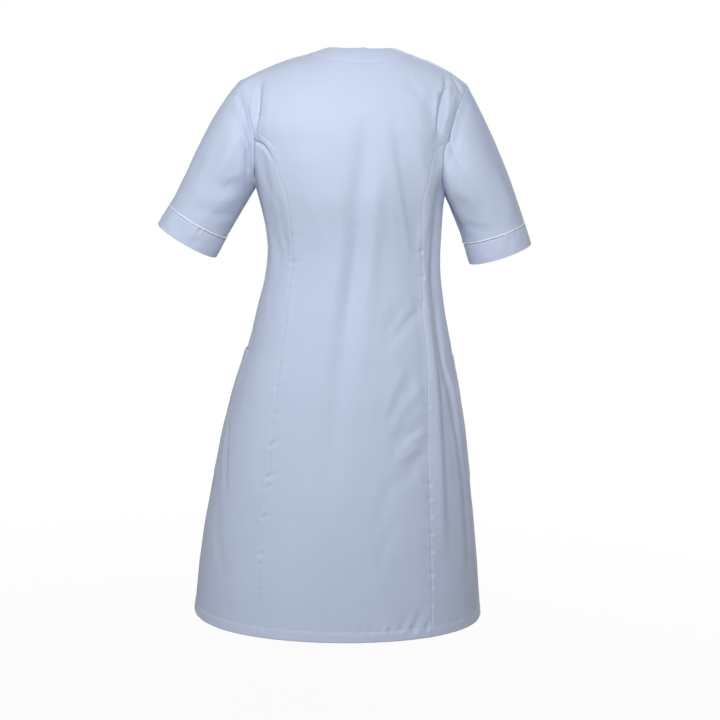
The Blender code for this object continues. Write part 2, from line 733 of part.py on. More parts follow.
def button_mesh():
    """The outline of a dished round button, to be turned about its axis."""
    mesh = bpy.data.meshes.new("button")
    outline = table(BUTTON_COLUMNS, BUTTON_ROWS)
    points = [(radius, 0, height) for radius, height in zip(outline["radius"], outline["height"])]
    mesh.from_pydata(points, [(i, i + 1) for i in range(len(points) - 1)], [])
    mesh.update()
    return mesh


def make_buttons(collection, parent):
    mesh = button_mesh()
    mesh.materials.append(material("button", BUTTON, BUTTON_ROUGHNESS))
    angle, level, lift = (grid[:V_ROW + 1] for grid in band_grid(-1))
    strip = cloth(angle, level, lift)[0]
    middle = 0.5 * (strip[:, 1] + strip[:, 2])
    for number in range(BUTTON_COUNT):
        height = -(BUTTON_FIRST_DROP + number * BUTTON_SPACING)
        row = int(np.searchsorted(middle[:, 2], height)) - 1
        rise = middle[row + 1] - middle[row]
        seat = middle[row] + rise * (height - middle[row, 2]) / rise[2]
        facing = np.cross(rise, strip[row, 1] - strip[row, 2])
        facing *= -math.copysign(1, facing[1]) / np.linalg.norm(facing)
        made = bpy.data.objects.new(f"button_{number + 1}", mesh)
        turn = Vector((0, 0, 1)).rotation_difference(Vector(facing))
        place = Vector(seat + facing * BUTTON_GAP)
        made.matrix_world = Matrix.Translation(place) @ turn.to_matrix().to_4x4()
        screw = made.modifiers.new("turn", "SCREW")
        screw.steps = BUTTON_STEPS
        screw.render_steps = BUTTON_STEPS
        screw.use_merge_vertices = True
        screw.merge_threshold = 0.00001
        made.parent = parent
        collection.objects.link(made)


def build():
    for old in list(bpy.data.objects):
        bpy.data.objects.remove(old, do_unlink=True)
    collection = bpy.data.collections.new(COLLECTION_NAME)
    bpy.context.scene.collection.children.link(collection)
    hold = bpy.data.objects.new("shoulder_rest", None)
    collection.objects.link(hold)
    make_body(collection, hold)
    make_sleeves(collection, hold)
    make_pockets(collection, hold)
    make_buttons(collection, hold)


build()
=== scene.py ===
import math

import bmesh
import bpy
import numpy as np
from mathutils import Matrix, Vector


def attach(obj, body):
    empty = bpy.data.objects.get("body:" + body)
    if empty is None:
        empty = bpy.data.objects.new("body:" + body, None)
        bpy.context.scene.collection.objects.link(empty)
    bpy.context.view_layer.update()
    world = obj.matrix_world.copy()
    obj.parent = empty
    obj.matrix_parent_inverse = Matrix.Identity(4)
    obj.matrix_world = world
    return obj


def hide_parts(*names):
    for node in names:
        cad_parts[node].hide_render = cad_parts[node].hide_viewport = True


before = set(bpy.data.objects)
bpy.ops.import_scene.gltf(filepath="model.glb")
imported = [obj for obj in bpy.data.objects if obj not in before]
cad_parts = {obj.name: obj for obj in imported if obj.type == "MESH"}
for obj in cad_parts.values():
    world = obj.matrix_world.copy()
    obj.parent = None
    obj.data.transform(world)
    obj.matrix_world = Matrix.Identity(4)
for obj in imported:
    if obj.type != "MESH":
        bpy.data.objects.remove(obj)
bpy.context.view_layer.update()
print("frame loaded with", len(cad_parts), "solids")

# The garment's form, as in the part's source: metres, drops below the shoulders,
# angles about the body with 0 at the wearer's left, 90 at the centre back
bodyForm = {
    "yokeDrop": 0.150, "underarmDrop": 0.250, "hemDrop": 1.012,
    "shoulderHalf": 0.200, "backHalf": 0.168, "chestHalf": 0.160, "shoulderTilt": 0.026,
    "ridgeHandle": 0.50, "ridgeSlope": 0.02, "yokeHandle": 0.40,
    "slopeStep": 0.004, "turnStep": 0.004, "riseStep": 0.0015, "foldFade": 0.6,
    "neckShift": -0.013, "shoulderShift": -0.002,
    "neckShare": 0.475, "bandShare": 0.300, "neckDip": 0.38, "bandDip": 0.18, "neckRound": 0.60,
    "necklineCurve": 0.92, "bandHalf": 0.017, "lapLift": 0.0023,
    "lapFadeStart": 0.32, "lapFadeLength": 0.40, "lapFadeWidth": 0.055,
    "rows": 22, "rowPower": 1.35, "pointRow": 19, "waistRow": 15, "pocketRows": (5, 10),
    "sections": (  # drop, half width, back depth, front depth, shift to the left, fullness
        (0.150, 0.188, 0.112, 0.118, 0.004, 2.40), (0.200, 0.178, 0.114, 0.129, 0.001, 2.40),
        (0.250, 0.164, 0.112, 0.136, -0.002, 2.35), (0.300, 0.156, 0.103, 0.130, -0.008, 2.30),
        (0.345, 0.152, 0.097, 0.118, -0.011, 2.25), (0.400, 0.156, 0.098, 0.112, -0.011, 2.20),
        (0.460, 0.168, 0.105, 0.115, -0.010, 2.20), (0.520, 0.1825, 0.114, 0.122, -0.011, 2.15),
        (0.580, 0.1995, 0.123, 0.130, -0.0095, 2.15), (0.660, 0.218, 0.134, 0.140, -0.0075, 2.10),
        (0.760, 0.2355, 0.148, 0.153, -0.006, 2.10), (0.880, 0.2535, 0.164, 0.167, -0.0045, 2.10),
        (1.012, 0.2665, 0.181, 0.181, -0.006, 2.10)),
    "princess": (  # drop, reach of the back seam, reach of the front seam
        (0.150, 0.168, 0.160), (0.157, 0.157, 0.151), (0.166, 0.146, 0.143),
        (0.180, 0.138, 0.134), (0.200, 0.132, 0.122), (0.226, 0.1255, 0.112),
        (0.250, 0.118, 0.105), (0.300, 0.1145, 0.098), (0.345, 0.1125, 0.094),
        (0.400, 0.116, 0.096), (0.460, 0.120, 0.101), (0.520, 0.127, 0.106),
        (0.580, 0.132, 0.111), (0.660, 0.136, 0.116), (0.760, 0.143, 0.124),
        (0.880, 0.1505, 0.132), (1.012, 0.154, 0.138)),
    "sideSeam": ((0.250, 0.0), (0.400, 3.0), (0.530, 6.0), (0.800, 7.0), (1.012, 7.0)),
    "armhole": {  # (side, facing): rows of drop and share of the angle at the yoke
        (1, 1): ((0.150, 1.0), (0.172, 0.94), (0.195, 0.82), (0.216, 0.62), (0.231, 0.38),
                 (0.238, 0.18), (0.242, 0.0)),
        (1, -1): ((0.150, 1.0), (0.173, 0.97), (0.196, 0.89), (0.218, 0.70), (0.232, 0.45),
                  (0.239, 0.20), (0.242, 0.0)),
        (-1, 1): ((0.150, 1.0), (0.158, 1.12), (0.172, 1.18), (0.195, 1.14), (0.214, 0.98),
                  (0.226, 0.70), (0.232, 0.34), (0.235, 0.0)),
        (-1, -1): ((0.150, 1.0), (0.172, 0.97), (0.192, 0.89), (0.212, 0.70), (0.226, 0.45),
                   (0.232, 0.20), (0.235, 0.0))},
    "ridge": ((0.0, -0.0125), (0.060, -0.0035), (0.095, 0.0085), (0.120, 0.0160),
              (0.166, 0.0365), (0.200, 0.0560)),
    "folds": (  # from angle and drop, to angle and drop, width, depth: the solids' own folds
        (102, 0.12, 90, 0.31, 0.016, -0.0035), (90, 0.29, 81, 0.50, 0.014, -0.0030),
        (81, 0.48, 75, 0.76, 0.016, -0.0022), (109, 0.18, 100, 0.52, 0.015, 0.0022),
        (129, 0.14, 146, 0.35, 0.012, -0.0030), (149, 0.43, 114, 0.51, 0.013, -0.0030),
        (134, 0.57, 120, 0.67, 0.014, -0.0022), (143, 0.66, 122, 0.75, 0.014, -0.0025),
        (161, 0.42, 157, 0.70, 0.016, -0.0032), (27, 0.03, 24, 0.125, 0.011, -0.0040),
        (150, 0.06, 152, 0.20, 0.011, -0.0045), (163, 0.16, 166, 0.24, 0.008, -0.0035),
        (18, 0.27, 30, 0.40, 0.014, -0.0025), (208, 0.15, 222, 0.33, 0.014, -0.0035),
        (332, 0.15, 318, 0.33, 0.014, -0.0035), (250, 0.30, 240, 0.52, 0.016, -0.0028),
        (291, 0.31, 300, 0.55, 0.016, -0.0028), (228, 0.58, 224, 0.86, 0.020, -0.0028),
        (312, 0.60, 316, 0.88, 0.020, -0.0028)),
}

yokeDrop, hemDrop = bodyForm["yokeDrop"], bodyForm["hemDrop"]

garmentSides = ((1, "Left"), (-1, "Right"))

# How a crease's trough dies out at its ends and lifts a low rim on each side
creaseForm = {
    "endFade": .7, "awayFade": 1.3, "rim": .34, "rimAt": 2.0, "rimWidth": .75,
    "puckerWidth": .0038, "puckerLean": .2, "waveHeight": .00022, "waveRadius": .17,
}

# Creases too small for the solids: a path of (angle, drop), width, depth (troughs below zero)
# and lean, which makes one flank steeper
bodyCreases = [
    ([(103, .131), (96, .186), (90, .279), (87, .350), (82, .420), (78, .514), (76, .613),
      (74, .690)], .014, -.0031, .0),
    ([(108, .169), (103, .236), (99, .321), (99, .424), (94, .513)], .013, .0012, .0),
    ([(70, .240), (67, .330), (66, .440), (68, .520)], .020, .0020, .0),
    ([(121, .110), (125, .184), (133, .277), (142, .340)], .008, -.0022, -.3),
    ([(116, .150), (119, .220), (124, .290)], .010, .0012, .0),
    ([(137, .125), (140, .180), (145, .235)], .008, .0014, .0),
    ([(58, .172), (68, .158), (77, .146)], .006, -.0007, .0),
    ([(60, .235), (66, .300), (66, .360)], .011, -.0008, .0),
    ([(52, .400), (58, .470), (57, .560)], .012, -.0010, .0),
    ([(139, .425), (130, .440), (113, .487)], .010, -.0016, .3),
    ([(139, .459), (129, .480), (117, .520)], .010, .0010, .0),
    ([(135, .545), (124, .587), (117, .635)], .010, -.0016, -.3),
    ([(140, .571), (129, .604), (118, .655)], .008, .0014, .0),
    ([(141, .636), (131, .655), (118, .680)], .009, -.0018, .3),
    ([(139, .675), (128, .690), (118, .706)], .008, .0012, .0),
    ([(124, .715), (114, .760), (108, .815)], .010, -.0009, .0),
    ([(120, .800), (112, .850), (106, .905)], .009, -.0008, .0),
    ([(152, .440), (150, .548), (149, .634), (147, .740), (144.5, .880)], .009, .0034, .3),
    ([(167, .430), (161, .540), (163, .641), (163, .735)], .007, -.0030, .3),
    ([(172, .560), (170, .680), (170, .790)], .010, -.0016, .0),
    ([(158, .720), (157, .800), (156, .900)], .012, .0012, .0),
    ([(8, .640), (14, .720), (20, .790)], .006, -.0016, .3),
    ([(14, .790), (18, .852), (27, .928)], .009, -.0013, .0),
    ([(30, .046), (26, .094), (20, .158)], .0042, -.0052, .2),
    ([(19, .160), (27, .168), (32, .192)], .0030, -.0034, .3),
    ([(19, .152), (27, .159), (32, .178)], .0030, .0018, .0),
    ([(25, .176), (24, .210), (23, .250)], .008, -.0022, .0),
    ([(34, .056), (31, .096), (27, .140)], .006, .0014, .0),
    ([(145.6, .034), (149.5, .080), (153.2, .118)], .0032, -.0048, .0),
    ([(146.8, .068), (150.6, .112), (152.6, .138)], .0042, -.0078, .0),
    ([(153, .062), (154.5, .086), (156, .114)], .007, .0026, .0),
    ([(140, .066), (143, .096), (147, .132)], .009, -.0020, .0),
    ([(146, .010), (151, .032), (157.5, .054)], .0035, -.0032, .0),
    ([(158, .190), (161, .270), (163, .338), (163.5, .410), (163, .470), (161.5, .580)],
     .016, -.0095, .0),
    ([(3, .480), (3, .800), (3, 1.300)], .060, -.0030, .0),
    ([(177, .480), (177, .800), (177, 1.300)], .060, -.0020, .0),
    ([(160.5, .560), (163.8, .678), (163, .786), (160.5, .940)], .010, -.0036, .0),
    ([(124, .070), (133, .082), (142, .104)], .006, -.0012, .0),
    ([(30, .255), (27, .300), (28, .345)], .006, -.0012, .0),
    ([(14, .300), (20, .345), (22, .400)], .008, -.0016, .2),
    ([(155, .285), (151, .330), (152, .380)], .007, -.0020, .2),
    ([(203, .160), (213, .230), (226, .300)], .007, -.0020, .3),
    ([(337, .160), (326, .235), (313, .310)], .007, -.0022, -.3),
    ([(214, .190), (222, .240), (236, .275)], .006, .0012, .0),
    ([(250, .300), (243, .400), (240, .520)], .009, -.0014, .2),
    ([(292, .310), (298, .420), (301, .550)], .009, -.0016, -.2),
    ([(262, .330), (255, .420), (256, .520)], .008, .0009, .0),
    ([(214, .425), (228, .455), (243, .500)], .007, -.0016, .3),
    ([(326, .440), (312, .475), (299, .520)], .007, -.0015, -.3),
    ([(226, .560), (224, .700), (221, .860)], .011, -.0014, .0),
    ([(314, .600), (317, .740), (318, .880)], .011, -.0014, .0),
    ([(246, .640), (244, .780), (240, .930)], .012, -.0012, .0),
    ([(295, .660), (298, .800), (301, .940)], .012, -.0013, .0),
    ([(196, .560), (190, .700), (186, .850)], .010, -.0014, .0),
    ([(345, .520), (351, .680), (354, .840)], .010, -.0014, .0),
]

# Short puckers beside the sewn lines: seam (side, facing), then drop, reach, rise, depth each
seamPuckers = {
    (1, 1): ((.296, .016, .004, -.0007), (.318, .020, .006, -.0010), (.365, .020, .006, -.0014),
             (.410, .012, .003, -.0008), (.470, .012, .004, -.0007), (.540, .016, .006, -.0009),
             (.580, .018, .010, -.0014), (.625, .013, .008, -.0010), (.679, .020, .022, -.0022),
             (.734, .020, .014, -.0020), (.752, .015, .009, -.0016), (.803, .014, .008, -.0018),
             (.868, .013, .008, -.0016), (.886, .010, .005, -.0010), (.930, .012, .006, -.0008)),
    (-1, 1): ((.341, .016, -.004, -.0016), (.385, .015, .006, -.0016), (.430, .014, .006, -.0010),
              (.560, .012, .010, -.0010), (.610, .014, .012, -.0012), (.650, .014, .012, -.0012),
              (.700, .016, .014, -.0012), (.745, .018, .016, -.0018), (.771, .016, .014, -.0018),
              (.801, .018, .015, -.0020), (.832, .018, .015, -.0020), (.862, .018, .015, -.0018),
              (.902, .020, .016, -.0020), (.926, .016, .014, -.0016), (.955, .018, .014, -.0014)),
    (1, -1): ((.290, .014, .005, -.0012), (.350, .016, .006, -.0014), (.452, .014, .008, -.0010),
              (.560, .013, .009, -.0010), (.668, .014, .010, -.0012), (.742, .015, .012, -.0014),
              (.818, .014, .010, -.0012), (.905, .014, .009, -.0012)),
    (-1, -1): ((.305, .014, .005, -.0012), (.372, .015, .006, -.0014), (.480, .014, .008, -.0010),
               (.590, .013, .009, -.0011), (.645, .014, .010, -.0010), (.770, .015, .012, -.0014),
               (.842, .014, .010, -.0013), (.930, .014, .009, -.0012)),
}

# Diagonal puckers above the hem's stitches: angle, lean in degrees, height, width, depth
hemPuckers = (
    (30, 2, .016, .0032, -.0010), (47, 1, .012, .0030, -.0008), (70, 2, .014, .0030, -.0009),
    (84, 3, .020, .0032, -.0015), (90, 3, .022, .0034, -.0017), (97, 4, .024, .0036, -.0018),
    (103, 4, .026, .0036, -.0020), (108, 4, .024, .0034, -.0020), (113, 4, .022, .0034, -.0016),
    (119, 5, .030, .0040, -.0022), (126, 6, .040, .0048, -.0026), (133, 4, .024, .0040, -.0018),
    (150, 3, .018, .0034, -.0012), (163, 2, .014, .0032, -.0010), (190, -3, .018, .0034, -.0012),
    (205, -3, .020, .0036, -.0014), (222, -4, .024, .0038, -.0016), (238, -3, .018, .0034, -.0013),
    (251, -3, .016, .0032, -.0010), (290, 3, .018, .0034, -.0012), (304, 4, .022, .0036, -.0015),
    (321, 3, .020, .0036, -.0014), (338, 3, .016, .0034, -.0012), (352, 2, .014, .0032, -.0010))

seams = {
    "edgeSteps": (0, .0007, .0014, .0022, .0034, .0052, .0076, .0100), "step": .0042,
    "fineReach": .062, "rowStep": .0040, "bandStep": .0025, "dip": .0007, "dipWidth": .0010,
    "allowance": .0092, "allowanceRise": .00022, "allowanceFade": .003, "allowanceDepth": .00095,
    "allowanceCurl": .0004, "allowanceThickness": .0005, "thickness": .0006,
    "bandThickness": .0006, "foldHalf": .00075, "foldTurns": (150, 120, 90, 60, 30),
    "sharpAngle": 55,
}

hem = {
    "rows": (0, .0005, .0012, .0024, .0045, .0075, .0105, .0135, .0160, .0174, .0182, .0190, .0198,
             .0208, .0222, .0245, .0280),
    "turnUp": .0200, "stitchHeight": .0182, "stitchWidth": .0011, "stitchDip": .00050,
    "plump": .00045, "ribFrom": 88, "ribTo": 128, "ribCount": 9, "ribDepth": .00045,
    "bandFade": .0016, "edgeTuck": .0006, "edgeWidth": .0008, "turnFade": .002,
}


def column(rows, index):
    return np.array([row[index] for row in rows])


def unit(vectors):
    return vectors / np.maximum(np.linalg.norm(vectors, axis=-1, keepdims=True), 1e-12)


def bell(distance, width):  # one at no distance, falling off on both sides
    return np.exp(-(distance / width) ** 2)


def bentLine(t, start, leave, end, arrive):  # from start to end with the two slopes given
    return ((1 + 2 * t) * (1 - t) ** 2 * start + t * (1 - t) ** 2 * leave
            + t * t * (3 - 2 * t) * end + t * t * (t - 1) * arrive)


def smoothCurve(rows, index, at):  # a smooth curve through one column of a table
    knots, values = column(rows, 0), column(rows, index)
    slopes = np.gradient(values, knots)
    at = np.clip(at, knots[0], knots[-1])
    i = np.clip(np.searchsorted(knots, at, side="right") - 1, 0, len(knots) - 2)
    span = knots[i + 1] - knots[i]
    return bentLine((at - knots[i]) / span, values[i], span * slopes[i],
                    values[i + 1], span * slopes[i + 1])


def smoothStep(share):
    share = np.clip(share, 0, 1)
    return share * share * (3 - 2 * share)


def section(level, index):
    return smoothCurve(bodyForm["sections"], index, np.maximum(-level, yokeDrop))


def angleAt(reach, level, facing):  # the angle that lies this far to the left, back 1 or front -1
    depth = section(level, 2 if facing > 0 else 3)
    fullness = section(level, 5)
    share = np.minimum(np.abs(reach) / section(level, 1), 1)
    return np.arctan2(facing * depth * (1 - share ** fullness) ** (1 / fullness), reach) % math.tau


def bodyAt(angle, level):
    depth = np.where(np.sin(angle) >= 0, section(level, 2), section(level, 3))
    power = section(level, 5)
    radius = (np.abs(np.cos(angle) / section(level, 1)) ** power
              + np.abs(np.sin(angle) / depth) ** power) ** (-1 / power)
    return np.stack([section(level, 4) + radius * np.cos(angle), radius * np.sin(angle),
                     np.minimum(level, -yokeDrop)], axis=-1)


def ridgePoint(share):  # a point on the shoulder ridge
    reach = share * bodyForm["shoulderHalf"]
    x = reach + bodyForm["shoulderShift"] + bodyForm["neckShift"] * (1 - share ** 2)
    z = -smoothCurve(bodyForm["ridge"], 1, np.abs(reach)) - bodyForm["shoulderTilt"] * x
    return np.stack([x, 0 * x, z], axis=-1)


def plainCloth(angle, level):  # the body's surface with no folds
    angle, level = np.broadcast_arrays(np.asarray(angle, float), np.asarray(level, float))
    low = bodyAt(angle, level)
    yokeLevel = np.full_like(level, -yokeDrop)
    start = bodyAt(angle, yokeLevel)
    slope = (start - bodyAt(angle, yokeLevel - bodyForm["slopeStep"])) / bodyForm["slopeStep"]
    facing = np.where(np.sin(angle) >= 0, 1.0, -1.0)
    half = np.where(facing > 0, bodyForm["backHalf"], bodyForm["chestHalf"])
    end = ridgePoint((start[..., 0] - section(yokeLevel, 4)) / half)
    first = start + slope * (end[..., 2] - start[..., 2])[..., None] * bodyForm["yokeHandle"]
    handle = bodyForm["ridgeHandle"] * np.abs(start[..., 1])
    reach = np.stack([0 * handle, facing * handle, -bodyForm["ridgeSlope"] * handle], axis=-1)
    second = end + reach
    t = np.clip(1 + level / yokeDrop, 0, 1)[..., None]
    high = ((1 - t) ** 3 * start + 3 * t * (1 - t) ** 2 * first
            + 3 * t * t * (1 - t) * second + t ** 3 * end)
    return np.where(t > 0, high, low)


def plainNormal(angle, level):
    turn, rise = bodyForm["turnStep"], bodyForm["riseStep"]
    around = plainCloth(angle + turn, level) - plainCloth(angle - turn, level)
    up = plainCloth(angle, np.minimum(level + rise, 0)) - plainCloth(angle, level - rise)
    return unit(np.cross(around, up))


def straightFold(at, start, end, scale, width, depth):  # one of the solids' folds
    run = [(end[k] - start[k]) * scale[k] for k in (0, 1)]
    here = [(at[k] - start[k]) * scale[k] for k in (0, 1)]
    lengthSquared = run[0] ** 2 + run[1] ** 2
    along = (here[0] * run[0] + here[1] * run[1]) / lengthSquared
    across = (here[0] * run[1] - here[1] * run[0]) / math.sqrt(lengthSquared)
    fade = np.clip(4 * along * (1 - along), 0, 1) ** bodyForm["foldFade"]
    return depth * fade * bell(across, width)


def pathCrease(s, d, path, width, depth, lean=0.0, away=False):  # a crease along a bent path
    best = np.full(s.shape, 1e3)
    along = np.zeros(s.shape)
    flank = np.zeros(s.shape)
    steps = [math.dist(p, q) for p, q in zip(path[:-1], path[1:])]
    run = 0.0
    for p, q, step in zip(path[:-1], path[1:], steps):
        ahead = (q[0] - p[0], q[1] - p[1])
        t = np.clip(((s - p[0]) * ahead[0] + (d - p[1]) * ahead[1]) / step ** 2, 0, 1)
        offS, offD = s - p[0] - t * ahead[0], d - p[1] - t * ahead[1]
        far = np.hypot(offS, offD)
        closer = far < best
        best = np.where(closer, far, best)
        along = np.where(closer, (run + t * step) / sum(steps), along)
        flank = np.where(closer, np.sign(ahead[0] * offD - ahead[1] * offS), flank)
        run += step
    if away:
        fade = (1 - along) ** creaseForm["awayFade"]
    else:
        fade = np.clip(4 * along * (1 - along), 0, 1) ** creaseForm["endFade"]
    ratio = best / (width * (1 + lean * flank))
    rim = creaseForm["rim"] * bell(ratio - creaseForm["rimAt"], creaseForm["rimWidth"])
    return depth * fade * (bell(ratio, 1) - rim)


def radiusAt(angle, drop):
    near = bodyAt(np.radians(angle), np.array(-drop))
    return math.hypot(near[0], near[1])


def aroundFrom(angle, middle, radius):  # metres round the body from a middle angle in degrees
    return np.radians((np.degrees(angle) - middle + 180) % 360 - 180) * radius


def foldHeight(angle, level):
    total = np.zeros(angle.shape)
    degrees = np.degrees(angle) % 360
    for fromAngle, fromDrop, toAngle, toDrop, width, depth in bodyForm["folds"]:
        radius = radiusAt(fromAngle, 0.5 * (fromDrop + toDrop))
        total += straightFold((degrees, -level), (fromAngle, fromDrop), (toAngle, toDrop),
                              (math.radians(radius), 1.0), width, depth)
    return total


def creaseHeight(angle, level):
    total = np.zeros(angle.shape)
    drop = -level
    for path, width, depth, lean in bodyCreases:
        middle = path[len(path) // 2]
        radius = radiusAt(*middle)
        line = [(math.radians(a - middle[0]) * radius, b) for a, b in path]
        total += pathCrease(aroundFrom(angle, middle[0], radius), drop, line, width, depth, lean)
    for (side, facing), rows in seamPuckers.items():
        for at, reach, rise, depth in rows:
            seam = math.degrees(float(mirrored(princessAngle(np.array(-at), facing), side)))
            radius = radiusAt(seam, at)
            inward = 1 if side * facing > 0 else -1
            line = [(0, at), (inward * reach, at - rise)]
            total += pathCrease(aroundFrom(angle, seam, radius), drop, line,
                                creaseForm["puckerWidth"], depth, creaseForm["puckerLean"], True)
    stitchDrop = hemDrop - hem["stitchHeight"]
    for at, lean, height, width, depth in hemPuckers:
        radius = radiusAt(at, stitchDrop)
        line = [(0, stitchDrop), (math.radians(lean) * radius, stitchDrop - height)]
        total += pathCrease(aroundFrom(angle, at, radius), drop, line, width, depth,
                            creaseForm["puckerLean"], True)
    return total + creaseForm["waveHeight"] * lowWaves(angle * creaseForm["waveRadius"], drop)


def lowWaves(s, d):  # slight unevenness all over, in three uneven sets
    return (np.sin(math.tau * (s / .061 + .35 * np.sin(d * 9))) * np.sin(d * 17 + 1)
            + np.sin(math.tau * (d / .083 + s / .19)) * np.sin(s * 31 + 2)
            + .6 * np.sin(math.tau * (s / .027 - d / .11)) * np.sin(d * 23 + s * 11))


def mirrored(angle, side):
    return angle if side > 0 else (math.pi - angle) % math.tau


def princessAngle(level, facing):
    level = np.minimum(level, -yokeDrop)
    reach = smoothCurve(bodyForm["princess"], 1 if facing > 0 else 2, -level)
    angle = angleAt(reach, level, facing)
    return np.where(angle > math.pi, angle - math.tau, angle)


def sideSeamAngle(level):
    return np.radians(smoothCurve(bodyForm["sideSeam"], 1, -level))


def rowLevel(row):  # height of one of the solids' rows
    share = 1 - (1 - row / bodyForm["rows"]) ** bodyForm["rowPower"]
    return -hemDrop + (hemDrop - yokeDrop) * share


pointLevel = rowLevel(bodyForm["pointRow"])
waistLevel = rowLevel(bodyForm["waistRow"])


def gradedPlaces(length, fine, coarse):  # places along a length, closer near its ends
    x = np.linspace(0, length, 1501)
    spacing = fine + (coarse - fine) * smoothStep(np.minimum(x, length - x) / seams["fineReach"])
    run = np.concatenate([[0], np.cumsum(np.diff(x) * .5 * (1 / spacing[1:] + 1 / spacing[:-1]))])
    return np.interp(np.linspace(0, run[-1], max(2, round(run[-1])) + 1), run, x)


def fineShares(width, step=seams["step"], fine=None):
    # places across a panel, as shares of its width, closer at its seams
    near = np.array(seams["edgeSteps"]) / width
    middle = near[-1] + gradedPlaces((1 - 2 * near[-1]) * width, fine or step, step) / width
    return np.concatenate([near[:-1], middle, 1 - near[-2::-1]])


def fineRows(bottom, top, hemmed=True, step=seams["rowStep"]):
    # places up a panel, closer at its hem and at its top seam
    start = np.array(hem["rows"] if hemmed else seams["edgeSteps"])
    end = np.array(seams["edgeSteps"])
    count = max(2, round((top - bottom - start[-1] - end[-1]) / step))
    middle = np.linspace(bottom + start[-1], top - end[-1], count + 1)
    return np.concatenate([bottom + start[:-1], middle, top - end[-2::-1]])


def gridNormals(points, out):  # outward directions of a grid, from its own slopes
    normal = unit(np.cross(np.gradient(points, axis=1), np.gradient(points, axis=0)))
    return normal * np.sign(np.sum(normal * out, axis=-1, keepdims=True))


def runAlong(points, axis):  # distance run from a grid's first row or column
    step = np.linalg.norm(np.diff(points, axis=axis), axis=-1)
    start = np.zeros_like(np.take(step, [0], axis=axis))
    return np.concatenate([start, np.cumsum(step, axis=axis)], axis=axis)


def seamDip(distance):  # how a panel's surface turns in at a sewn edge
    under = 1 - smoothStep((distance - seams["allowance"]) / seams["allowanceFade"] + .5)
    return seams["allowanceRise"] * under - seams["dip"] * bell(distance, seams["dipWidth"])


def hemShape(angle, level):  # the turned-up hem: a plump band, a stitch line and short ribs
    height = level + hemDrop
    above = height - hem["stitchHeight"]
    shape = hem["plump"] * (1 - smoothStep(above / hem["bandFade"]))
    shape = shape - hem["stitchDip"] * bell(above, hem["stitchWidth"])
    shape = shape - hem["edgeTuck"] * bell(height, hem["edgeWidth"])
    degrees = np.degrees(angle) % 360
    share = (degrees - hem["ribFrom"]) / (hem["ribTo"] - hem["ribFrom"])
    ribs = np.sin(math.tau * hem["ribCount"] * share)
    ribs = ribs * smoothStep(share * 4) * smoothStep(4 - share * 4)
    other = np.sin(degrees * 1.31) * np.sin(degrees * .37 + 1) * .5
    swell = np.sin(math.pi * np.clip(height / hem["stitchHeight"], 0, 1))
    return shape + hem["ribDepth"] * (ribs + other) * swell


def sheetFaces(points, ring):  # quads of a closed wall between two stacked grids
    rows, columns = points.shape[:2]
    count = rows * columns
    index = np.arange(count).reshape(rows, columns)
    if ring:
        index = np.concatenate([index, index[:, :1]], axis=1)
    top = np.stack([index[:-1, :-1], index[:-1, 1:], index[1:, 1:], index[1:, :-1]], -1)
    top = top.reshape(-1, 4)
    faces = [top, top[:, ::-1] + count]
    lines = [index[0], index[-1, ::-1]]
    if not ring:
        lines += [index[::-1, 0], index[:, -1]]
    for line in lines:
        p, q = line[:-1], line[1:]
        faces.append(np.stack([q, p, p + count, q + count], -1))
    return np.concatenate(faces)


def makeSheet(name, layers, material, ring=False):
    # layers holds (outer points, outward directions, depth, thickness, doubled cloth from 0 to 1)
    places, faces, spreads, doubled = [], [], [], []
    start = 0
    for points, normals, depth, thickness, double in layers:
        outer = points - normals * np.broadcast_to(depth, points.shape[:2])[..., None]
        inner = outer - normals * np.broadcast_to(thickness, points.shape[:2])[..., None]
        across, up = runAlong(points, 1), runAlong(points, 0)
        across = across - across[:, -1:] * 0.5
        quads = sheetFaces(points, ring)
        facing = np.cross(outer[0, 1] - outer[0, 0], outer[1, 0] - outer[0, 0])
        if np.sum(facing * normals[0, 0]) < 0:
            quads = quads[:, ::-1]
        faces.append(quads + start)
        for grid in (outer, inner):
            places.append(grid.reshape(-1, 3))
            spreads.append(np.stack([across, up], -1).reshape(-1, 2))
            doubled.append(np.broadcast_to(double, points.shape[:2]).ravel())
        start += 2 * points.shape[0] * points.shape[1]
    return finishMesh(name, np.concatenate(places), np.concatenate(faces), material,
                      np.concatenate(spreads), np.concatenate(doubled))


def finishMesh(name, places, faces, material, spread=None, doubled=None):
    mesh = bpy.data.meshes.new(name)
    mesh.from_pydata(places.tolist(), [], faces.tolist())
    if spread is not None:
        corners = np.array([loop.vertex_index for loop in mesh.loops])
        layer = mesh.uv_layers.new(name="clothSpread")
        layer.data.foreach_set("uv", spread[corners].astype(np.float32).ravel())
        attribute = mesh.attributes.new("doubled", "FLOAT", "POINT")
        attribute.data.foreach_set("value", doubled.astype(np.float32))
    mesh.shade_smooth()
    mesh.set_sharp_from_angle(angle=math.radians(seams["sharpAngle"]))
    mesh.materials.append(material)
    return addPiece(name, mesh)


def addPiece(name, mesh):
    piece = bpy.data.objects.new(name, mesh)
    bpy.context.scene.collection.objects.link(piece)
    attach(piece, "root")
    return piece


def panelSurface(angle, level, lift=0.0, edges="lrt", hemmed=True):
    # points and directions of a panel; edges names its sewn sides: left, right and top
    angle, level = np.broadcast_arrays(np.asarray(angle, float), np.asarray(level, float))
    out = plainNormal(angle, level)
    height = foldHeight(angle, level) + creaseHeight(angle, level)
    points = plainCloth(angle, level) + out * height[..., None]
    normals = gridNormals(points, out)
    across, up = runAlong(points, 1), runAlong(points, 0)
    rise = np.zeros(angle.shape)
    if "l" in edges:
        rise += seamDip(across)
    if "r" in edges:
        rise += seamDip(across[:, -1:] - across)
    if "t" in edges:
        rise += seamDip(up[-1:] - up)
    if hemmed:
        rise += hemShape(angle, level)
    points = points + normals * (rise + lift)[..., None]
    return points, gridNormals(points, out)


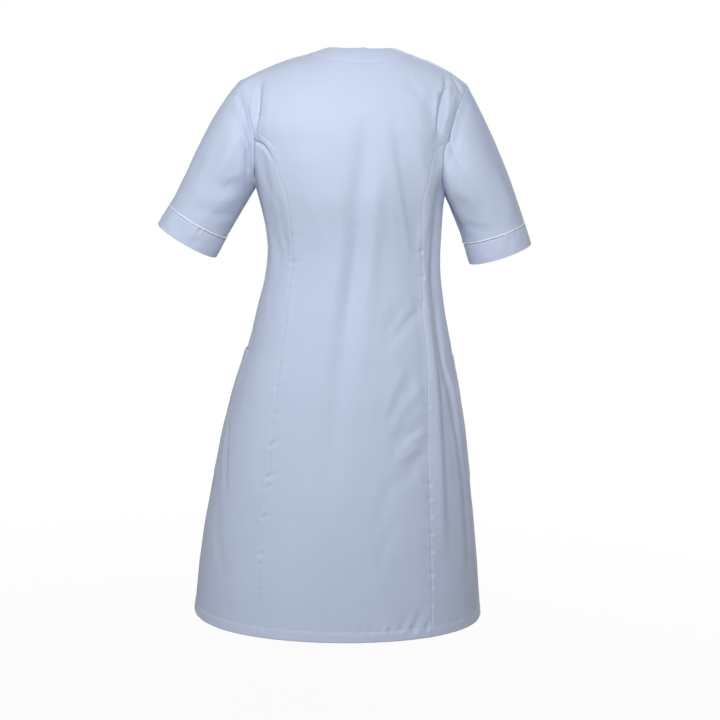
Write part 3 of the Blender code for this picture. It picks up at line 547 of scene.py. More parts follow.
def foldUnder(points, normals, reach):
    # cloth turned under at a grid's first row and laid back inside it, as far as row number reach
    ahead = unit(points[0] - points[1])
    half = seams["foldHalf"]
    turn = np.radians(seams["foldTurns"])[:, None, None]
    away = np.cos(turn) * normals[0] + np.sin(turn) * ahead
    inner = points[reach::-1] - normals[reach::-1] * 2 * half
    folded = points[0] + (away - normals[0]) * half
    return (np.concatenate([inner, folded, points]),
            np.concatenate([-normals[reach::-1], away, normals]))


def panelLayers(points, normals, level):
    # the cloth with its hem turned under, and its seam allowances pressed open inside
    height = level + hemDrop
    double = 1 - smoothStep((height - hem["turnUp"]) / hem["turnFade"] + .5)
    reach = int(np.searchsorted(hem["rows"], hem["turnUp"]))
    cloth, out = foldUnder(points, normals, reach)
    under = np.ones((len(cloth) - len(points), points.shape[1]))
    layers = [(cloth, out, 0.0, seams["thickness"], np.concatenate([under, double]))]
    width = len(seams["edgeSteps"])
    away = np.array(seams["edgeSteps"]) / seams["edgeSteps"][-1]
    curl = seams["allowanceDepth"] + seams["allowanceCurl"] * away ** 2
    for side, depth in ((slice(None, width), curl), (slice(-width, None), curl[::-1])):
        layers.append((points[reach + 1:, side], normals[reach + 1:, side], depth,
                       seams["allowanceThickness"], 0.0))
    return layers


stitches = {}  # seat, direction and outward direction of each stitch, by the piece they make


sewing = {"pitch": .0028, "lift": .00012, "lookAhead": .0003}


def addStitches(name, line, normals):  # stitches evenly spaced along a line of points
    run = np.concatenate([[0], np.cumsum(np.linalg.norm(np.diff(line, axis=0), axis=1))])
    at = np.arange(sewing["pitch"] / 2, run[-1], sewing["pitch"])
    seat, out, ahead = (np.stack([np.interp(place, run, grid[:, k]) for k in range(3)], -1)
                        for place, grid in ((at, line), (at, normals),
                                            (at + sewing["lookAhead"], line)))
    out = unit(out)
    stitches.setdefault(name, []).append((seat + out * sewing["lift"], unit(ahead - seat), out))


class Socket:  # a node's output that takes part in sums
    def __init__(self, tree, output=None):
        self.tree = tree
        self.output = output

    def node(self, kind, settings=None, values=None, out=0):
        made = self.tree.nodes.new(kind)
        for key, value in (settings or {}).items():
            if key == "stops":
                ramp = made.color_ramp.elements
                while len(ramp) < len(value):
                    ramp.new(0.5)
                for stop, (place, colour) in zip(ramp, value):
                    stop.position = place
                    stop.color = (*colour, 1)
            else:
                setattr(made, key, value)
        for key, value in (values or {}).items():
            if isinstance(value, Socket):
                self.tree.links.new(value.output, made.inputs[key])
            else:
                made.inputs[key].default_value = value
        return Socket(self.tree, made.outputs[out])

    def noise(self, place, scale, detail, roughness=.5, twist=0.0):
        return self.node("ShaderNodeTexNoise", values={
            "Vector": place, "Scale": scale, "Detail": detail, "Roughness": roughness,
            "Distortion": twist})

    def math(self, operation, first, second=0.0):
        return self.node("ShaderNodeMath", {"operation": operation}, {0: first, 1: second})

    def __add__(self, other):
        return self.math("ADD", self, other)

    def __sub__(self, other):
        return self.math("SUBTRACT", self, other)

    def __rsub__(self, other):
        return self.math("SUBTRACT", other, self)

    def __mul__(self, other):
        return self.math("MULTIPLY", self, other)

    __radd__ = __add__
    __rmul__ = __mul__

    def wave(self):
        return self.math("SINE", self)

    def mix(self, first, second):
        settings = {"data_type": "RGBA"}
        return self.node("ShaderNodeMix", settings, {0: self, 6: first, 7: second}, 2)


def newMaterial(name, constants):
    made = bpy.data.materials.new(name)
    made.use_nodes = True
    shader = made.node_tree.nodes["Principled BSDF"]
    for key, value in constants.items():
        shader.inputs[key].default_value = value
    return made, shader, Socket(made.node_tree)


def connect(shader, values):
    for key, value in values.items():
        shader.id_data.links.new(value.output, shader.inputs[key])


clothFinish = {  # each cloth's colour, its darker mottle and its paler tint where it is doubled
    "body": ((.530, .600, .752, 1), (.470, .540, .708, 1), (.590, .652, .800, 1)),
    "band": ((.533, .600, .764, 1), (.472, .540, .720, 1), (.565, .628, .790, 1)),
    "doubledShare": .28, "yarnPitch": .00042, "roughness": .78, "sheen": .28, "sheenRoughness": .45,
}


def makeClothMaterial(name, colour, deep, pale):  # thin smooth plain weave with a slight sheen
    made, shader, base = newMaterial(name, {
        "Sheen Weight": clothFinish["sheen"], "Sheen Roughness": clothFinish["sheenRoughness"],
        "Specular IOR Level": .32})
    place = base.node("ShaderNodeTexCoord", out=3)
    spread = base.node("ShaderNodeUVMap", {"uv_map": "clothSpread"})
    across, up = (base.node("ShaderNodeSeparateXYZ", values={0: spread}, out=k) for k in (0, 1))
    turns = math.tau / clothFinish["yarnPitch"]
    weave = (across * turns).wave() * (up * turns).wave()
    broad = base.noise(place, 9.0, 3.0, .55)
    fine = base.noise(place, 420.0, 2.0, .6)
    stretched = base.node("ShaderNodeMapping", values={"Vector": spread, "Scale": (900, 28, 1)})
    slub = base.noise(stretched, 1.0, 2.0, .5)
    doubled = base.node("ShaderNodeAttribute", {"attribute_name": "doubled"}, out=2)
    mottle = (broad - .5) * .9 + (slub - .5) * .35 + (fine - .5) * .35
    tone = base.node("ShaderNodeClamp", values={0: mottle + .5})
    tint = tone.mix(deep, colour)
    tint = (doubled * clothFinish["doubledShare"]).mix(tint, pale)
    rough = clothFinish["roughness"] + (fine - .5) * .16 + weave * .03
    height = weave * .5 + (fine - .5) * .9 + (slub - .5) * .8
    bump = base.node("ShaderNodeBump",
                     values={"Strength": .22, "Distance": .00022, "Height": height})
    connect(shader, {"Base Color": tint, "Roughness": rough, "Normal": bump})
    return made


def makeThreadMaterial(name, colour, shade, twist):  # fine twisted thread or piping
    made, shader, base = newMaterial(name, {"Sheen Weight": .2, "Specular IOR Level": .35})
    place = base.node("ShaderNodeTexCoord", out=3)
    x, y, z = (base.node("ShaderNodeSeparateXYZ", values={0: place}, out=k) for k in range(3))
    strands = ((x + y + z) * (math.tau / twist)).wave() * .5 + .5
    fuzz = base.noise(place, 900.0, 2.0)
    tone = base.node("ShaderNodeClamp", values={0: strands * .4 + fuzz * .6})
    bump = base.node("ShaderNodeBump",
                     values={"Strength": .35, "Distance": .0002, "Height": strands + fuzz * .5})
    connect(shader, {"Base Color": tone.mix(shade, colour), "Roughness": fuzz * .2 + .58,
                     "Normal": bump})
    return made


def makeButtonMaterial():  # satin pale-blue plastic with faint swirls
    made, shader, base = newMaterial("paleButton", {
        "Specular IOR Level": .5, "Coat Roughness": .18, "Subsurface Weight": .05,
        "Subsurface Scale": .002})
    place = base.node("ShaderNodeTexCoord", out=3)
    swirl = base.noise(place, 210.0, 3.0, twist=1.6)
    grain = base.noise(place, 1600.0, 2.0)
    tone = base.node("ShaderNodeClamp", values={0: (swirl - .35) * 2.2})
    connect(shader, {
        "Base Color": tone.mix((.50, .60, .76, 1), (.68, .76, .87, 1)),
        "Roughness": swirl * .12 + grain * .08 + .22, "Coat Weight": grain * .2 + .25,
        "Normal": base.node("ShaderNodeBump",
                            values={"Strength": .08, "Distance": .0002, "Height": grain})})
    return made


bodyCloth = makeClothMaterial("paleBlueCloth", *clothFinish["body"])
bandCloth = makeClothMaterial("bandCloth", *clothFinish["band"])
sewingThread = makeThreadMaterial("sewingThread", (.62, .69, .83, 1), (.46, .53, .70, 1), .0009)
pipingCord = makeThreadMaterial("whitePiping", (.90, .92, .97, 1), (.78, .82, .91, 1), .0012)
buttonPlastic = makeButtonMaterial()
print("finishes ready")

# Flat size of each panel with its seam allowances and hem, in metres, and its cut area
backPanel = {
    "width": .262, "flat": (.420, 1.060), "area": .334, "grid": (.0054, .0021, .0025),
    "yokeRun": .175, "neckCorner": (.96, .985, 1),  # shares of the neck where columns also stand
}


def makeBack():
    neckShare = bodyForm["neckShare"]
    coarse, fine, rowStep = backPanel["grid"]
    share = 1 - 2 * fineShares(backPanel["width"], coarse, fine)
    corners = np.outer((-1, 1), backPanel["neckCorner"]).ravel() * neckShare
    share = np.sort(np.concatenate([share, corners]))[::-1]
    low = fineRows(-hemDrop, -yokeDrop, True, rowStep)
    low = np.repeat(low[:-len(seams["edgeSteps"]) + 1, None], len(share), axis=1)
    inside = np.clip(1 - (share / neckShare) ** 2, 0, 1)
    top = 1 - bodyForm["neckDip"] * inside ** bodyForm["neckRound"]
    steps = fineRows(0.0, backPanel["yokeRun"], False, rowStep)[1:, None] / backPanel["yokeRun"]
    level = np.concatenate([low, -yokeDrop * (1 - steps * top)])
    drop = np.minimum(level, -yokeDrop)
    angle = angleAt(share * smoothCurve(bodyForm["princess"], 1, -drop), drop, 1)
    points, normals = panelSurface(angle, level)
    piece = makeSheet("backCloth", panelLayers(points, normals, level), bodyCloth)
    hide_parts("back_center")
    hemLine(points, normals)


def hemLine(points, normals):  # the stitches that hold the turned-up hem
    row = hem["rows"].index(hem["stitchHeight"])
    addStitches("hemStitching", points[row], normals[row])


makeBack()
print("back made")

sidePanels = {  # by facing: 1 for the back, -1 for the front
    "width": {1: .115, -1: .170}, "grid": {1: (.0042, .0022, .0027), -1: (.0045, .0045, .0042)},
    "flat": {1: (.215, .880), -1: (.280, .880)}, "area": {1: .118, -1: .173},
    "armholeSteps": 400, "waistRise": .02,
}


def armholeLevel(shares, side, facing):  # heights where a side panel's columns meet the armhole
    rows = bodyForm["armhole"][side, facing]
    level = -np.linspace(rows[-1][0], yokeDrop, sidePanels["armholeSteps"])
    top = princessAngle(np.array(-yokeDrop), facing)
    edge = top * smoothCurve(rows, 1, -level)
    seam = sideSeamAngle(level)
    return np.interp(shares, (edge - seam) / (princessAngle(level, facing) - seam), level)


def sidePanelGrid(side, facing, share, rows=None):
    if rows is None:
        rowStep = sidePanels["grid"][facing][2]
        low = fineRows(-hemDrop, waistLevel + sidePanels["waistRise"], True, rowStep)
        low = low[:-len(seams["edgeSteps"])]
        high = fineRows(low[-1], -bodyForm["underarmDrop"], False, rowStep)
        high = high[len(seams["edgeSteps"]):]
        squeeze = (high - low[-1]) / (high[-1] - low[-1])
        level = np.stack([np.concatenate([low, low[-1] + squeeze * (top - low[-1])])
                          for top in armholeLevel(share, side, facing)], axis=1)
    else:
        level = np.repeat(rows[:, None], len(share), axis=1)
    seam = sideSeamAngle(level)
    angle = seam + share * (princessAngle(level, facing) - seam)
    return mirrored(angle, side), level


def makeSidePanels():
    for side, word in garmentSides:
        for facing, kind in ((1, "Back"), (-1, "Front")):
            share = fineShares(sidePanels["width"][facing], *sidePanels["grid"][facing][:2])
            angle, level = sidePanelGrid(side, facing, share)
            points, normals = panelSurface(angle, level)
            piece = makeSheet(f"side{kind}{word}Cloth", panelLayers(points, normals, level),
                              bodyCloth)
            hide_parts(f"side_{kind.lower()}_{word.lower()}")
            hemLine(points, normals)


makeSidePanels()
print("side panels made")

frontPanels = {"width": .105, "flat": (.170, 1.065), "area": .134}
closing = {
    "flat": (.080, .860), "area": .0620, "across": .034, "rowStep": .0055, "stitchInset": .0030,
    "stitchDip": .00035, "stitchWidth": .0008, "rise": .0003, "edgeRound": .004,
    "stitchShares": (.085, .915),
}


def necklineShare(level):
    return np.clip((level - pointLevel) / -pointLevel, 0, 1)


def edgeReach(level, start, share):  # from a band's edge at the point out to the neck's side
    rise = necklineShare(level) ** bodyForm["necklineCurve"]
    return start + (bodyForm[share] * bodyForm["chestHalf"] - start) * rise


def frontEdgeReach(level):  # a front's inner edge: the band seam, then the neckline
    return edgeReach(level, bodyForm["bandHalf"], "neckShare")


def bandInnerReach(level):  # the neckband's free edge
    return edgeReach(level, -bodyForm["bandHalf"], "bandShare")


def lapLift(level):
    share = (necklineShare(level) - bodyForm["lapFadeStart"]) / bodyForm["lapFadeLength"]
    return bodyForm["lapLift"] * (1 - smoothStep(share))


def makeFronts():
    level = fineRows(-hemDrop, 0.0)[:, None]
    drop = np.minimum(level, -yokeDrop)
    for side, word in garmentSides:
        inner = frontEdgeReach(level)
        outer = smoothCurve(bodyForm["princess"], 2, -drop)
        reach = inner + (outer - inner) * fineShares(frontPanels["width"])
        fade = 1 - smoothStep((reach - inner) / bodyForm["lapFadeWidth"])
        lift = lapLift(level) * fade if side < 0 else 0 * reach
        angle = angleAt(side * reach, drop, -1)
        points, normals = panelSurface(angle, level + 0 * reach, lift)
        layers = panelLayers(points, normals, level + 0 * reach)
        piece = makeSheet(f"front{word}Cloth", layers, bodyCloth)
        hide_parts("front_" + word.lower())
        hemLine(points, normals)


def bandShape(points):  # a doubled band: sewn at its first column, free at its last
    across = runAlong(points, 1)
    shape = seamDip(across)
    for distance in (across, across[:, -1:] - across):
        shape -= closing["stitchDip"] * bell(distance - closing["stitchInset"],
                                             closing["stitchWidth"])
        shape += closing["rise"] * smoothStep(distance / closing["edgeRound"]) / 2
    return shape


def makeBand(name, points, normals):  # a band of cloth folded double at its free edge
    flipped, out = (grid[:, ::-1].swapaxes(0, 1) for grid in (points, normals))
    cloth, away = foldUnder(flipped, out, len(flipped) - 1)
    double = np.ones(cloth.shape[:2])
    return makeSheet(name, [(cloth, away, 0.0, seams["bandThickness"], double)], bandCloth)


def makePlackets():
    level = fineRows(-hemDrop, pointLevel, True, closing["rowStep"])[:, None]
    for side, word in garmentSides:
        outer, inner = frontEdgeReach(level), bandInnerReach(level)
        reach = outer + (inner - outer) * fineShares(closing["across"], seams["bandStep"])
        angle = angleAt(side * reach, np.minimum(level, -yokeDrop), -1)
        lift = bodyForm["lapLift"] + 0 * reach if side < 0 else 0 * reach
        points, normals = panelSurface(angle, level + 0 * reach, lift, "t")
        points = points + normals * bandShape(points)[..., None]
        piece = makeBand(f"placket{word}Cloth", points, normals)
        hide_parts("placket_" + word.lower())
        for share in closing["stitchShares"]:
            addStitches("placketStitching", mixedStrip(points, share), mixedStrip(normals, share))
        hemLine(points, normals)


def mixedStrip(points, share):  # the line at a share of each row's run
    across = runAlong(points, 1)
    line = []
    for row, run in zip(points, across):
        line.append([np.interp(share * run[-1], run, row[:, k]) for k in range(3)])
    return np.array(line)


makeFronts()
makePlackets()
print("fronts and closing bands made")

neckBand = {
    "flat": (.076, .860), "area": .0560, "width": .033, "sideRows": 62, "backRows": 84,
    "ribDepth": .00042, "ribPitch": .0064, "ribSway": 2.2, "ribSwayTurns": 41,
    "ribLeast": .35, "ribMiddle": .58, "ribReach": .055, "stitchShares": (.09, .91),
}


def makeNeckband():
    across = fineShares(neckBand["width"], seams["bandStep"])
    sideLevel = np.linspace(pointLevel, 0, neckBand["sideRows"])[:, None]
    outer, inner = frontEdgeReach(sideLevel), bandInnerReach(sideLevel)
    reach = outer + (inner - outer) * across
    drop = np.minimum(sideLevel, -yokeDrop)
    left, right = (angleAt(side * reach, drop, -1) for side in (1, -1))
    turn = np.linspace(0, math.pi, neckBand["backRows"] + 2)[1:-1]
    place = np.cos(turn)[:, None]
    widening = (bodyForm["bandShare"] - bodyForm["neckShare"]) * across
    share = place * (bodyForm["neckShare"] + widening)
    dip = bodyForm["neckDip"] + (bodyForm["bandDip"] - bodyForm["neckDip"]) * across
    backLevel = -yokeDrop * dip * (1 - place ** 2) ** bodyForm["neckRound"]
    back = angleAt(share * bodyForm["backHalf"], np.full_like(backLevel, -yokeDrop), 1)
    angle = np.concatenate([left, back, right[::-1]])
    level = np.concatenate([sideLevel + 0 * reach, backLevel, (sideLevel + 0 * reach)[::-1]])
    lift = np.concatenate([0 * reach, 0 * back, (lapLift(sideLevel) + 0 * reach)[::-1]])
    points, normals = panelSurface(angle, level, lift, "", False)
    run = runAlong(points, 0)[:, :1]
    sway = neckBand["ribSway"] * np.sin(run * neckBand["ribSwayTurns"])
    ribs = np.sin(math.tau * run / neckBand["ribPitch"] + sway)
    least, middle = neckBand["ribLeast"], neckBand["ribMiddle"] * run[-1]
    strength = least + (1 - least) * bell(run - middle, neckBand["ribReach"])
    swell = np.sin(math.pi * across) ** .7
    shape = bandShape(points) + neckBand["ribDepth"] * ribs * strength * swell
    points = points + normals * shape[..., None]
    piece = makeBand("neckbandCloth", points, normals)
    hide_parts("neckband")
    for share in neckBand["stitchShares"]:
        addStitches("neckStitching", mixedStrip(points, share), mixedStrip(normals, share))


makeNeckband()
print("neckband made")

pockets = {
    "flat": (.230, .275), "area": .0520, "width": .170, "lift": .0012, "bulge": .0024,
    "edgeBulge": .1, "openingHem": .022, "edgeLift": .0003, "edgeFade": .011, "footFade": .006,
    "hemRise": .0005, "hemFade": .0016, "edgeTuck": .0006, "edgeWidth": .0008,
    "hemStitch": (.0005, .0011), "footStitch": (.0004, .0010), "footInset": .003,
    "mouthInset": .0025, "thickness": .0007, "hemThickness": .0006,
}


def makePockets():
    low, high = (rowLevel(row) for row in bodyForm["pocketRows"])
    share = fineShares(pockets["width"])
    rows = fineRows(low, high, False)
    height = ((rows - low) / (high - low))[:, None]
    swell = pockets["edgeBulge"] + (1 - pockets["edgeBulge"]) * np.sin(math.pi * share)
    lift = pockets["lift"] + pockets["bulge"] * swell * smoothStep(height)
    sides = smoothStep(np.minimum(share, 1 - share) * pockets["width"] / pockets["edgeFade"])
    foot = smoothStep((rows - low)[:, None] / pockets["footFade"])
    lift = pockets["edgeLift"] + (lift - pockets["edgeLift"]) * np.minimum(sides, foot)
    for side, word in garmentSides:
        angle, level = sidePanelGrid(side, -1, share, rows)
        points, normals = panelSurface(angle, level, lift, "", False)
        down = high - level
        below = down - pockets["openingHem"]
        band = 1 - smoothStep(below / pockets["hemFade"])
        shape = pockets["hemRise"] * band
        for away, (dip, width) in (
                (down, (pockets["edgeTuck"], pockets["edgeWidth"])), (below, pockets["hemStitch"]),
                (level - low - pockets["footInset"], pockets["footStitch"])):
            shape -= dip * bell(away, width)
        points = points + normals * shape[..., None]
        thickness = pockets["thickness"] + pockets["hemThickness"] * band
        layers = [(points, normals, 0.0, thickness, band)]
        piece = makeSheet(f"pocket{word}Cloth", layers, bodyCloth)
        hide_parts("pocket_" + word.lower())
        for at in (high - pockets["openingHem"], high - pockets["mouthInset"],
                   low + pockets["footInset"]):
            row = int(np.argmin(np.abs(rows - at)))
            addStitches("pocketStitching", points[row], normals[row])


makePockets()
print("pockets made")

sleeveForm = {
    "underarmSteps": 30, "yokeSteps": 40, "halfDepth": .052, "backPuff": .30, "rowStep": .0030,
    "flat": (.420, .300), "area": .0900, "waveHeight": .0002, "endFade": .012, "startFade": .004,
    "startShare": .3, "puckerWidth": .0034, "flushTurn": .6,
    "left": {"cuff": (.2825, -.012, .3385), "out": 28.6, "swing": 6.0, "endHalf": .0570,
             "cuffHalf": .0590, "capPuff": .22, "underarmPuff": 0.0},
    "right": {"cuff": (-.2770, -.004, .3455), "out": 20.8, "swing": 3.0, "endHalf": .0575,
              "cuffHalf": .0585, "capPuff": .18, "underarmPuff": .0},
}

# The solids' own sleeve folds: from turn and share, to turn and share, width, depth
sleeveFolds = {
    "left": ((130, .10, 55, .16, .010, -.0045), (80, .40, 120, .75, .016, -.0025),
             (285, .08, 235, .20, .012, -.0035)),
    "right": ((150, .08, 70, .13, .009, -.0010), (100, .35, 75, .80, .016, -.0012),
              (290, .08, 240, .22, .012, -.0035)),
}

# Smaller creases: path of (turn, share), width, depth, lean; a turn of 90 is the back
sleeveCreases = {
    "left": [
        ([(158, .045), (125, .055), (90, .062), (60, .075), (32, .110)], .0050, -.0062, .2),
        ([(110, .09), (72, .15), (45, .26)], .007, -.0022, .3),
        ([(118, .20), (104, .40), (98, .60)], .010, .0018, .0),
        ([(140, .40), (148, .62), (146, .82)], .011, -.0014, .0),
        ([(60, .30), (74, .46), (92, .60)], .008, -.0020, .3),
        ([(52, .50), (70, .62), (88, .74)], .007, .0013, .0),
        ([(38, .62), (58, .74), (80, .86)], .007, -.0016, .2),
        ([(80, .78), (98, .86), (112, .95)], .008, -.0010, .0),
        ([(250, .10), (275, .20), (300, .32)], .008, -.0022, .3),
        ([(228, .30), (246, .48), (262, .70)], .010, -.0018, .0),
        ([(300, .45), (286, .60), (278, .82)], .009, -.0016, .2),
        ([(205, .50), (212, .68), (214, .86)], .010, -.0010, .0)],
    "right": [
        ([(165, .03), (130, .06), (92, .10), (60, .18)], .006, -.0008, .0),
        ([(158, .18), (154, .45), (150, .80)], .012, -.0020, .3),
        ([(138, .52), (136, .70), (134, .88)], .008, .0016, .0),
        ([(96, .24), (90, .46), (88, .66)], .012, .0014, .0),
        ([(48, .34), (62, .52), (66, .78)], .009, -.0022, .3),
        ([(112, .60), (104, .76), (102, .92)], .009, -.0010, .0),
        ([(40, .70), (56, .80), (72, .92)], .007, -.0014, .2),
        ([(255, .10), (278, .20), (298, .34)], .008, -.0022, .3),
        ([(230, .34), (244, .52), (255, .76)], .010, -.0018, .0),
        ([(296, .46), (284, .62), (276, .84)], .009, -.0016, .2),
        ([(200, .46), (206, .66), (206, .86)], .010, -.0011, .0)],
}

# Ease in the sleeve cap: small puckers along the armhole seam, by turn
capPuckers = (40, 58, 74, 96, 112, 127, 139, 150, 159, 168, 177, 187, 197, 208, 221, 236, 252,
              270, 296)

cuffForm = {
    "width": .040, "rows": (0, .0006, .0013, .0022, .0034, .0052, .0076, .0105, .0140, .0180, .0220,
                            .0260, .0300, .0335, .0360, .0378, .0388, .0395, .0400),
    "flat": (.380, .096), "area": .0340, "stitchDrops": (.0034, .0360), "stitchDip": .0003,
    "stitchWidth": .0009, "plump": .0004, "waveHeight": .0003, "puckerStart": .002,
    "puckerWidth": .0028, "dentWidth": .006, "dentDepth": -.0009,
    "puckers": {"left": (38, 52, 63, 71, 80, 92, 118, 150, 205, 231, 262, 290, 318),
                "right": (45, 60, 78, 95, 122, 150, 214, 238, 270, 295, 322)},
    "dents": {  # from turn and share, to turn and share
        "left": ((70, .5, 88, .9), (120, .2, 112, .8), (150, .3, 160, .9), (230, .3, 246, .8)),
        "right": ((60, .3, 72, .8), (104, .2, 98, .9), (140, .4, 128, .9), (245, .3, 236, .8))},
}


def sleeveFrame(row):
    side = math.copysign(1, row["cuff"][0])
    out = side * math.radians(row["out"])
    swing = math.radians(row["swing"])
    axis = np.array([math.sin(out) * math.cos(swing), -math.sin(swing),
                     -math.cos(out) * math.cos(swing)])
    outward = np.array([math.cos(out), 0, math.sin(out)]) * side
    backward = np.cross(axis, outward) * side
    backward *= math.copysign(1, backward[1])
    bottom = np.array([row["cuff"][0], row["cuff"][1], -row["cuff"][2]])
    return axis, outward, backward, bottom - axis * cuffForm["width"], bottom


def armholeLoop(side):  # the armhole from the underarm, up the back, over and down the front
    share = np.linspace(0, 1, sleeveForm["underarmSteps"] + 1)
    steps = np.arange(1, sleeveForm["yokeSteps"] + 1) / sleeveForm["yokeSteps"]
    yokeLevels = -yokeDrop * (1 - steps)
    halves = []
    for facing in (1, -1):
        level = armholeLevel(share, side, facing)
        seam = sideSeamAngle(level)
        low = seam + share * (princessAngle(level, facing) - seam)
        high = np.full(len(steps), princessAngle(np.array(-yokeDrop), facing))
        halves.append((np.concatenate([low, high]), np.concatenate([level, yokeLevels])))
    (back, backLevel), (front, frontLevel) = halves
    angle = mirrored(np.concatenate([back, front[-2:0:-1]]), side)
    level = np.concatenate([backLevel, frontLevel[-2:0:-1]])
    out = plainNormal(angle, level)
    points = plainCloth(angle, level)
    points = points + out * (foldHeight(angle, level) + creaseHeight(angle, level))[:, None]
    closed = np.concatenate([points, points[:1]])
    run = np.concatenate([[0], np.cumsum(np.linalg.norm(np.diff(closed, axis=0), axis=1))])
    tip = len(back) - 1
    backTurn = math.pi * run[:tip + 1] / run[tip]
    frontTurn = math.pi + math.pi * (run[tip + 1:-1] - run[tip]) / (run[-1] - run[tip])
    return points, out, np.concatenate([backTurn, frontTurn])


def ringAt(center, outward, backward, half, turn):
    return (center - outward * half * np.cos(turn)[:, None]
            + backward * sleeveForm["halfDepth"] * np.sin(turn)[:, None])


def tubeNormals(points, flip):
    around = np.roll(points, -1, axis=1) - np.roll(points, 1, axis=1)
    return unit(np.cross(np.gradient(points, axis=0), around) * flip)


def aroundTube(turn, middle):
    return np.radians((turn - middle + 180) % 360 - 180) * sleeveForm["halfDepth"]


def tubeLine(path, length):  # a path's middle turn, and its places in metres from there
    middle = path[len(path) // 2][0]
    return middle, [(math.radians(turn - middle) * sleeveForm["halfDepth"], share * length)
                    for turn, share in path]


def makeSleeve(word):
    side = 1 if word == "left" else -1
    row = sleeveForm[word]
    axis, outward, backward, center, bottom = sleeveFrame(row)
    start, bodyOut, turn = armholeLoop(side)
    end = ringAt(center, outward, backward, row["endHalf"], turn)
    length = np.linalg.norm(end - start, axis=1, keepdims=True)
    puff = (row["capPuff"] * (.5 - .5 * np.cos(turn)) + sleeveForm["backPuff"] * np.sin(turn) ** 2
            + row["underarmPuff"] * np.clip(np.cos(turn), 0, 1) ** 2)[:, None]
    away = backward * np.sin(turn)[:, None] - outward * np.cos(turn)[:, None]
    leave, arrive = (axis + puff * away) * length, axis * length
    meanLength = float(length.mean())
    steps = fineRows(0.0, meanLength, False, sleeveForm["rowStep"])
    t = (steps / steps[-1])[:, None, None]
    points = bentLine(t, start, leave, end, arrive)
    normals = tubeNormals(points, -side)
    share = t[:, :, 0]
    degrees = np.degrees(turn)[None, :] + 0 * share
    down = share * meanLength + 0 * degrees
    height = np.zeros(points.shape[:2])
    scale = (math.radians(sleeveForm["halfDepth"]), meanLength)
    for a, b, c, d, width, depth in sleeveFolds[word]:
        height += straightFold((degrees, share), (a, b), (c, d), scale, width, depth)
    for path, width, depth, lean in sleeveCreases[word]:
        middle, line = tubeLine(path, meanLength)
        height += pathCrease(aroundTube(degrees, middle), down, line, width, depth, lean)
    for k, at in enumerate(capPuckers):  # each a little unlike the next
        line = [(0, 0), (.002 * math.sin(k * 2.3), .010 + .006 * math.sin(k * 1.7) ** 2)]
        depth = -.0007 - .0005 * math.sin(k * 2.9) ** 2
        height += pathCrease(aroundTube(degrees, at), down, line, sleeveForm["puckerWidth"],
                             depth, .0, True)
    height += (sleeveForm["waveHeight"] * np.sin(down * 97 + degrees / 17)
               * np.sin(degrees / 23 + down * 41 + side))
    fade = smoothStep((1 - share) * meanLength / sleeveForm["endFade"])
    least = sleeveForm["startShare"]
    fade = fade * (smoothStep(share * meanLength / sleeveForm["startFade"]) * (1 - least) + least)
    points = points + normals * (height * fade)[..., None]
    run = runAlong(points, 0)
    rise = seamDip(run) + seamDip(run[-1:] - run)
    points = points + tubeNormals(points, -side) * rise[..., None]
    normals = tubeNormals(points, -side)
    flush = np.sum(normals[0] * bodyOut, axis=-1) > sleeveForm["flushTurn"]
    flush &= np.sum((points[4] - points[0]) * bodyOut, axis=-1) < 0
    normals[0] = np.where(flush[:, None], bodyOut, normals[0])
    edge = len(seams["edgeSteps"])
    layers = [(points, normals, 0.0, seams["thickness"], 0.0),
              (points[1:edge], normals[1:edge], seams["allowanceDepth"],
               seams["allowanceThickness"], 0.0)]
    piece = makeSheet(f"sleeve{word.title()}Cloth", layers, bodyCloth, True)
    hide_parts("sleeve_" + word)
    makeCuff(word, side, row, turn, outward, backward, center, bottom)


def makeCuff(word, side, row, turn, outward, backward, top, bottom):
    share = (np.array(cuffForm["rows"]) / cuffForm["width"])[:, None]
    points = np.array([ringAt(top + (bottom - top) * t, outward, backward,
                              row["endHalf"] + (row["cuffHalf"] - row["endHalf"]) * t, turn)
                       for t in share[:, 0]])
    normals = tubeNormals(points, -side)
    seamRing, seamOut = points[0], normals[0]
    degrees = np.degrees(turn)[None, :] + 0 * share
    down = share * cuffForm["width"] + 0 * degrees
    height = (cuffForm["waveHeight"] * np.sin(degrees / 9 + down * 60)
              * np.sin(degrees / 31 + 1))
    for k, at in enumerate(cuffForm["puckers"][word]):
        line = [(0, cuffForm["puckerStart"]),
                (.0015 * math.sin(k * 1.9), .010 + .007 * math.sin(k * 2.7) ** 2)]
        depth = -.0012 - .0008 * math.sin(k * 1.3) ** 2
        height += pathCrease(aroundTube(degrees, at), down, line, cuffForm["puckerWidth"],
                             depth, .0, True)
    for a, b, c, d in cuffForm["dents"][word]:
        middle, line = tubeLine([(a, b), (c, d)], cuffForm["width"])
        height += pathCrease(aroundTube(degrees, middle), down, line, cuffForm["dentWidth"],
                             cuffForm["dentDepth"])
    height += cuffForm["plump"] * np.sin(math.pi * share)
    height += seamDip(down)
    for drop in cuffForm["stitchDrops"]:
        height -= cuffForm["stitchDip"] * bell(down - drop, cuffForm["stitchWidth"])
    points = points + normals * height[..., None]
    normals = tubeNormals(points, -side)
    cloth, away = foldUnder(points[::-1], normals[::-1], len(points) - 1)
    layer = (cloth, away, 0.0, seams["bandThickness"], 1.0)
    piece = makeSheet(f"cuff{word.title()}Cloth", [layer], bandCloth, True)
    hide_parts("cuff_" + word)
    for drop in cuffForm["stitchDrops"]:
        at = cuffForm["rows"].index(drop)
        line = np.concatenate([points[at], points[at][:1]])
        out = np.concatenate([normals[at], normals[at][:1]])
        addStitches("cuffStitching", line, out)
    makePiping(word, seamRing, seamOut)


piping = {"radius": .0011, "stand": .0008, "sides": 3}


